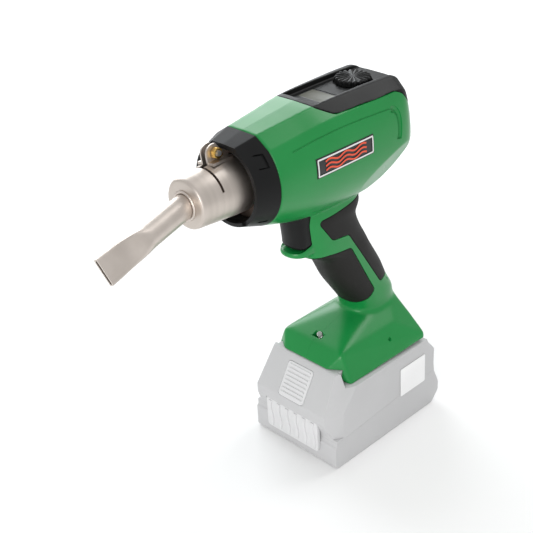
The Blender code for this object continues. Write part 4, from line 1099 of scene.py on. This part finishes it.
def ribbon(name, side, route, width, lift, thick, closed=False):
    """A strip along a side-view route, bent over the flank, lift above it."""
    drop_selection()
    bpy.ops.mesh.primitive_grid_add(x_subdivisions=len(route) - 1, y_subdivisions=4, size=1)
    made = bpy.context.object
    made.name = name
    for vertex in made.data.vertices:
        at = round((vertex.co.x + 0.5) * (len(route) - 1))
        if closed:
            before, after = route[(at - 1) % (len(route) - 1)], route[(at + 1) % (len(route) - 1)]
        else:
            before, after = route[max(0, at - 1)], route[min(len(route) - 1, at + 1)]
        run = (Vector(after) - Vector(before)).normalized()
        y, z = Vector(route[at]) + Vector((-run.y, run.x)) * width * vertex.co.y
        vertex.co = Vector((side * (flank_x(y, z) + lift), y, z)) * MM
    edit(made)
    bpy.ops.mesh.remove_doubles(threshold=0.000002)
    leave()
    bake(made, "SOLIDIFY", thickness=thick * MM, offset=-side)
    faces_out(made)
    return made


PLATE_LONG, PLATE_TALL = PLATE_HIGH[0] - PLATE_LOW[0], PLATE_HIGH[1] - PLATE_LOW[1]
middle_z = (PLATE_LOW[1] + PLATE_HIGH[1]) / 2
for side, word in ((1, "left"), (-1, "right")):
    along = [(PLATE_LOW[0] + PLATE_LONG * i / 40, middle_z) for i in range(41)]
    plate_blank = ribbon(f"flank_plate_{word}", side, along, PLATE_TALL, 0.3, 0.45)
    place_piece(plate_blank, "tool", "label_dark", INK, f"label_plate_{word}")
    inner = [(PLATE_LOW[0] + 1.3, PLATE_LOW[1] + 1.3), (PLATE_HIGH[0] - 1.3, PLATE_LOW[1] + 1.3),
             (PLATE_HIGH[0] - 1.3, PLATE_HIGH[1] - 1.3), (PLATE_LOW[0] + 1.3, PLATE_HIGH[1] - 1.3)]
    loop = []
    for i in range(4):
        a, b = Vector(inner[i]), Vector(inner[(i + 1) % 4])
        loop += [tuple(a.lerp(b, k / 24)) for k in range(24)]
    border = ribbon(f"flank_frame_{word}", side, loop + loop[:1], 1.1, 0.76, 0.06, closed=True)
    place_piece(border, "tool", "label_white", FRAME_INK)
    for number in range(3):
        base = middle_z + (number - 1) * 3.1
        wave = [(-54.0 + 40.0 * i / 80, base + 1.05 * math.sin(i / 80 * math.pi * 5)) for i in range(81)]
        line = ribbon(f"heat_wave_{word}_{number}", side, wave, 1.25, 0.76, 0.06)
        place_piece(line, "tool", "label_dark", WARM_INK)

# %% [markdown]
# ## Battery pack
# The slide-on pack has two shells that meet in a line round its flank. Both are side views extruded
# across, with corners cut by slanting planes and all edges rounded by a bevel before the rooms are
# cut out. The latch button and the front panel sit in their own pockets, so the joint lines are
# real gaps.

# %% Pack outlines, in mm
PACK_HALF = 42.75
PACK_SIDE = rounded([(-60.0, 2.0), (-58.0, 0.0), (56.0, 0.0), (64.0, 9.0), (64.0, 17.0), (58.5, 30.0),
                     (57.6, 38.0), (58.0, 52.0), (49.5, 62.5), (46.0, 75.6), (-46.8, 75.6), (-49.4, 72.0),
                     (-64.5, 47.0), (-64.5, 39.0), (-58.5, 26.5), (-58.5, 20.6), (-60.0, 19.6)], 1.4, 3)
SEAM_FRONT, SEAM_REAR = (-80.0, 22.1), (80.0, 32.9)
SLOPE_LOW, SLOPE_HIGH = Vector((0, -64.5, 47.0)), Vector((0, -49.4, 72.0))
UPHILL = (SLOPE_HIGH - SLOPE_LOW).normalized()
OUTWARD = Vector((0, -UPHILL.z, UPHILL.y))


def on_slope(across, up, out):
    """A point of the pack's sloping front."""
    return (SLOPE_LOW + SLOPE_HIGH) / 2 + Vector((across, 0, 0)) + UPHILL * up + OUTWARD * out


# %% One rounded block with slanting front corners
pack = plate("pack_form", PACK_SIDE, -PACK_HALF, PACK_HALF, side_on)
for side in (-1, 1):
    reach = sorted((side * 31.4, side * 60))
    cut(pack, block("shoulder", (reach[0], -43.0, 65.0), (reach[1], 80, 90)))
    for lean in (0.373, 0.0):
        wedge = beyond("front_corner", (side * 35.5, -64.5, 47.0), (side * 0.894, -0.447, lean))
        cut(pack, keep_inside(wedge, block("above_seam", (-90, -150, 25.6), (90, 90, 120))))
soften(pack, 1.5)

# %% Split along the seam, then hollow
seam = [SEAM_FRONT, SEAM_REAR, (80.0, -20.0), (-80.0, -20.0)]
upper_seam = [(y, z + 0.15) for y, z in seam]
lower = keep_inside(copy_of(pack, "pack_lower"), plate("below", seam, -50, 50, side_on))
cut(lower, block("tray", (-40.15, -57.2, 2.6), (40.15, 55.0, 60)))
place_piece(lower, "battery", "pack_grey_plastic", PACK, "battery_case_lower", smooth=35)

upper = cut(pack, plate("below", upper_seam, -50, 50, side_on))
upper.name = "pack_upper"
cut(upper, block("cell_room", (-40.15, -55.0, 10), (40.15, 54.8, 47.5)),
    block("deck_room", (-28.6, -38, 40), (28.6, 44, 66.0)),
    plate("button_pocket", rounded([(-13.3, -14.3), (13.3, -14.3), (13.3, 14.3), (-13.3, 14.3)], 3.2),
          -7.5, 20, on_slope),
    block("panel_space", (-27.3, -80, 0), (27.3, -59.9, 38.1)))
for x in (-12.0, 0.0, 12.0):
    cut(upper, block("contact_slot", (x - 1.2, 11.0, 68.0), (x + 1.2, 80, 90)))
place_piece(upper, "battery", "pack_grey_plastic", PACK, "battery_case_upper", smooth=35)

# %% Latch button and ribbed front panel
BUTTON_EDGE = rounded([(-13, -14), (13, -14), (13, 14), (-13, 14)], 3.0)
button = plate("latch_button", BUTTON_EDGE, -4.3, 0.2, on_slope)
for number in range(8):
    up = -11.2 + 3.2 * number
    rib = plate("rib", rounded([(-11, up - 0.9), (11, up - 0.9), (11, up + 0.9), (-11, up + 0.9)], 0.8),
                -1.0, 1.0, on_slope)
    join(button, rib)
soften(button, 0.35, 2)
place_piece(button, "battery_button", "pack_pale_plastic", PACK_PALE, "battery_button", smooth=35)

panel = plate("front_grip_panel", rounded([(-27, 11), (27, 11), (27, 38), (-27, 38)], 3.0), -60.3, -63.2,
              front_on)
for number in range(6):
    x = -22.5 + 9 * number
    rise = [(12.8 + 23.6 * i / 24, 1.1 * math.sin(i / 24 * math.pi * 2)) for i in range(25)]
    wavy = [(x - 1.7 + bend, z) for z, bend in rise] + [(x + 1.7 + bend, z) for z, bend in reversed(rise)]
    join(panel, plate("wavy_rib", wavy, -62.0, -64.2, front_on))
soften(panel, 0.7, 3, 50)
place_piece(panel, "battery", "pack_pale_plastic", PACK_PALE, "battery_front_panel", smooth=35)

low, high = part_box("battery_label")
sticker = plate("blank_sticker", rounded([(low.y / MM, low.z / MM), (high.y / MM, low.z / MM),
                                          (high.y / MM, high.z / MM), (low.y / MM, high.z / MM)], 1.2),
                low.x / MM, high.x / MM, side_on)
soften(sticker, 0.1, 2)
place_piece(sticker, "battery", "label_white", PAPER, "battery_label")

# %% [markdown]
# ## Screws and lamp
# Six self-tapping screws hold the clamshell, put in from the right. They are modelled once, with a
# hex socket and a rolled edge, and copied to each boss. The lamp in the foot is a small clear plug.

# %% Housing screws
low, high = (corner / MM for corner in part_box("housing_screw_1"))
first_screw = rod("case_screw_1", (low.x + 1.6, -80, 221), (high.x, -80, 221), 1.3, 32)
head = rod("screw_head", (low.x, -80, 221), (low.x + 2.2, -80, 221), 2.6, 48)
soften(head, 0.35, 3)
join(first_screw, head)
cut(first_screw, rod("socket", (low.x - 1, -80, 221), (low.x + 1.3, -80, 221), 1.25, 6))
for number, (edge, y, z) in enumerate(screws[1:], 2):
    low, high = (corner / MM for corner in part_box(f"housing_screw_{number}"))
    item = copy_of(first_screw, f"case_screw_{number}")
    shift = Vector((low.x - (1.6 - screws[0][0]), y + 80, z - 221))
    edit(item)
    bpy.ops.transform.translate(value=shift * MM)
    leave()
    edit(item, lambda v: v.co.x > (low.x + 6) * MM, "VERT")
    far = max(v.co.x for v in item.data.vertices) / MM
    bpy.ops.transform.translate(value=Vector((high.x - far, 0, 0)) * MM)
    leave()
    place_piece(item, "tool", "screw_steel", PLATED, f"housing_screw_{number}")
place_piece(first_screw, "tool", "screw_steel", PLATED, "housing_screw_1")

# %% Lamp
lamp = rod("lamp_plug", (0, -27.6, 86.6), (0, -29.5, 91.2), 2.15, 48)
soften(lamp, 0.7, 4)
place_piece(lamp, "tool", "lamp_lens", CLEAR, "work_light_lens")

# %% [markdown]
# ## Works inside
# The heater, blower, switch, boards and cells come straight from the CAD frame, as they are seen
# only through gaps. They keep their form and take one of the finishes above.

# %% Finishes of the carried-over nodes
INSIDE = [
    (INNER_DARK, "display_module", "encoder_body", "fan_housing", "impeller", "trigger_switch",
     "contact_block"),
    (INNER_PALE, "trigger_plunger", "work_light_led", "battery_terminals"),
    (BOARD, "control_board", "power_board", "battery_board"),
    (PLATED, "encoder_plunger", "motor_shaft", "motor_can", "thermocouple", "trigger_spring", "latch_spring"),
    (HOT_STEEL, "heat_shield_ring", "heater_tube"),
    (MICA, "mica_sleeve"),
    (CERAMIC, "heater_core"),
    (WIRE, "heater_coil"),
    (RUBBER, "motor_mount"),
    (FOAM, "intake_filter_left", "intake_filter_right"),
    (COPPER, "contact_blade_plus", "contact_blade_minus", "contact_blade_data"),
    (CELL, "battery_cells_lower", "battery_cells_upper"),
]
for material, *names in INSIDE:
    for name in names:
        nodes[name].data.materials.clear()
        nodes[name].data.materials.append(material)
print("carried over:", sum(len(row) - 1 for row in INSIDE))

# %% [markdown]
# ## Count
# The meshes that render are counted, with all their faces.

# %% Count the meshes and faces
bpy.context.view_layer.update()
shown = [o for o in bpy.context.scene.objects if o.type == "MESH" and not o.hide_render]
print("pieces:", len(shown), "faces:", sum(len(o.data.polygons) for o in shown))
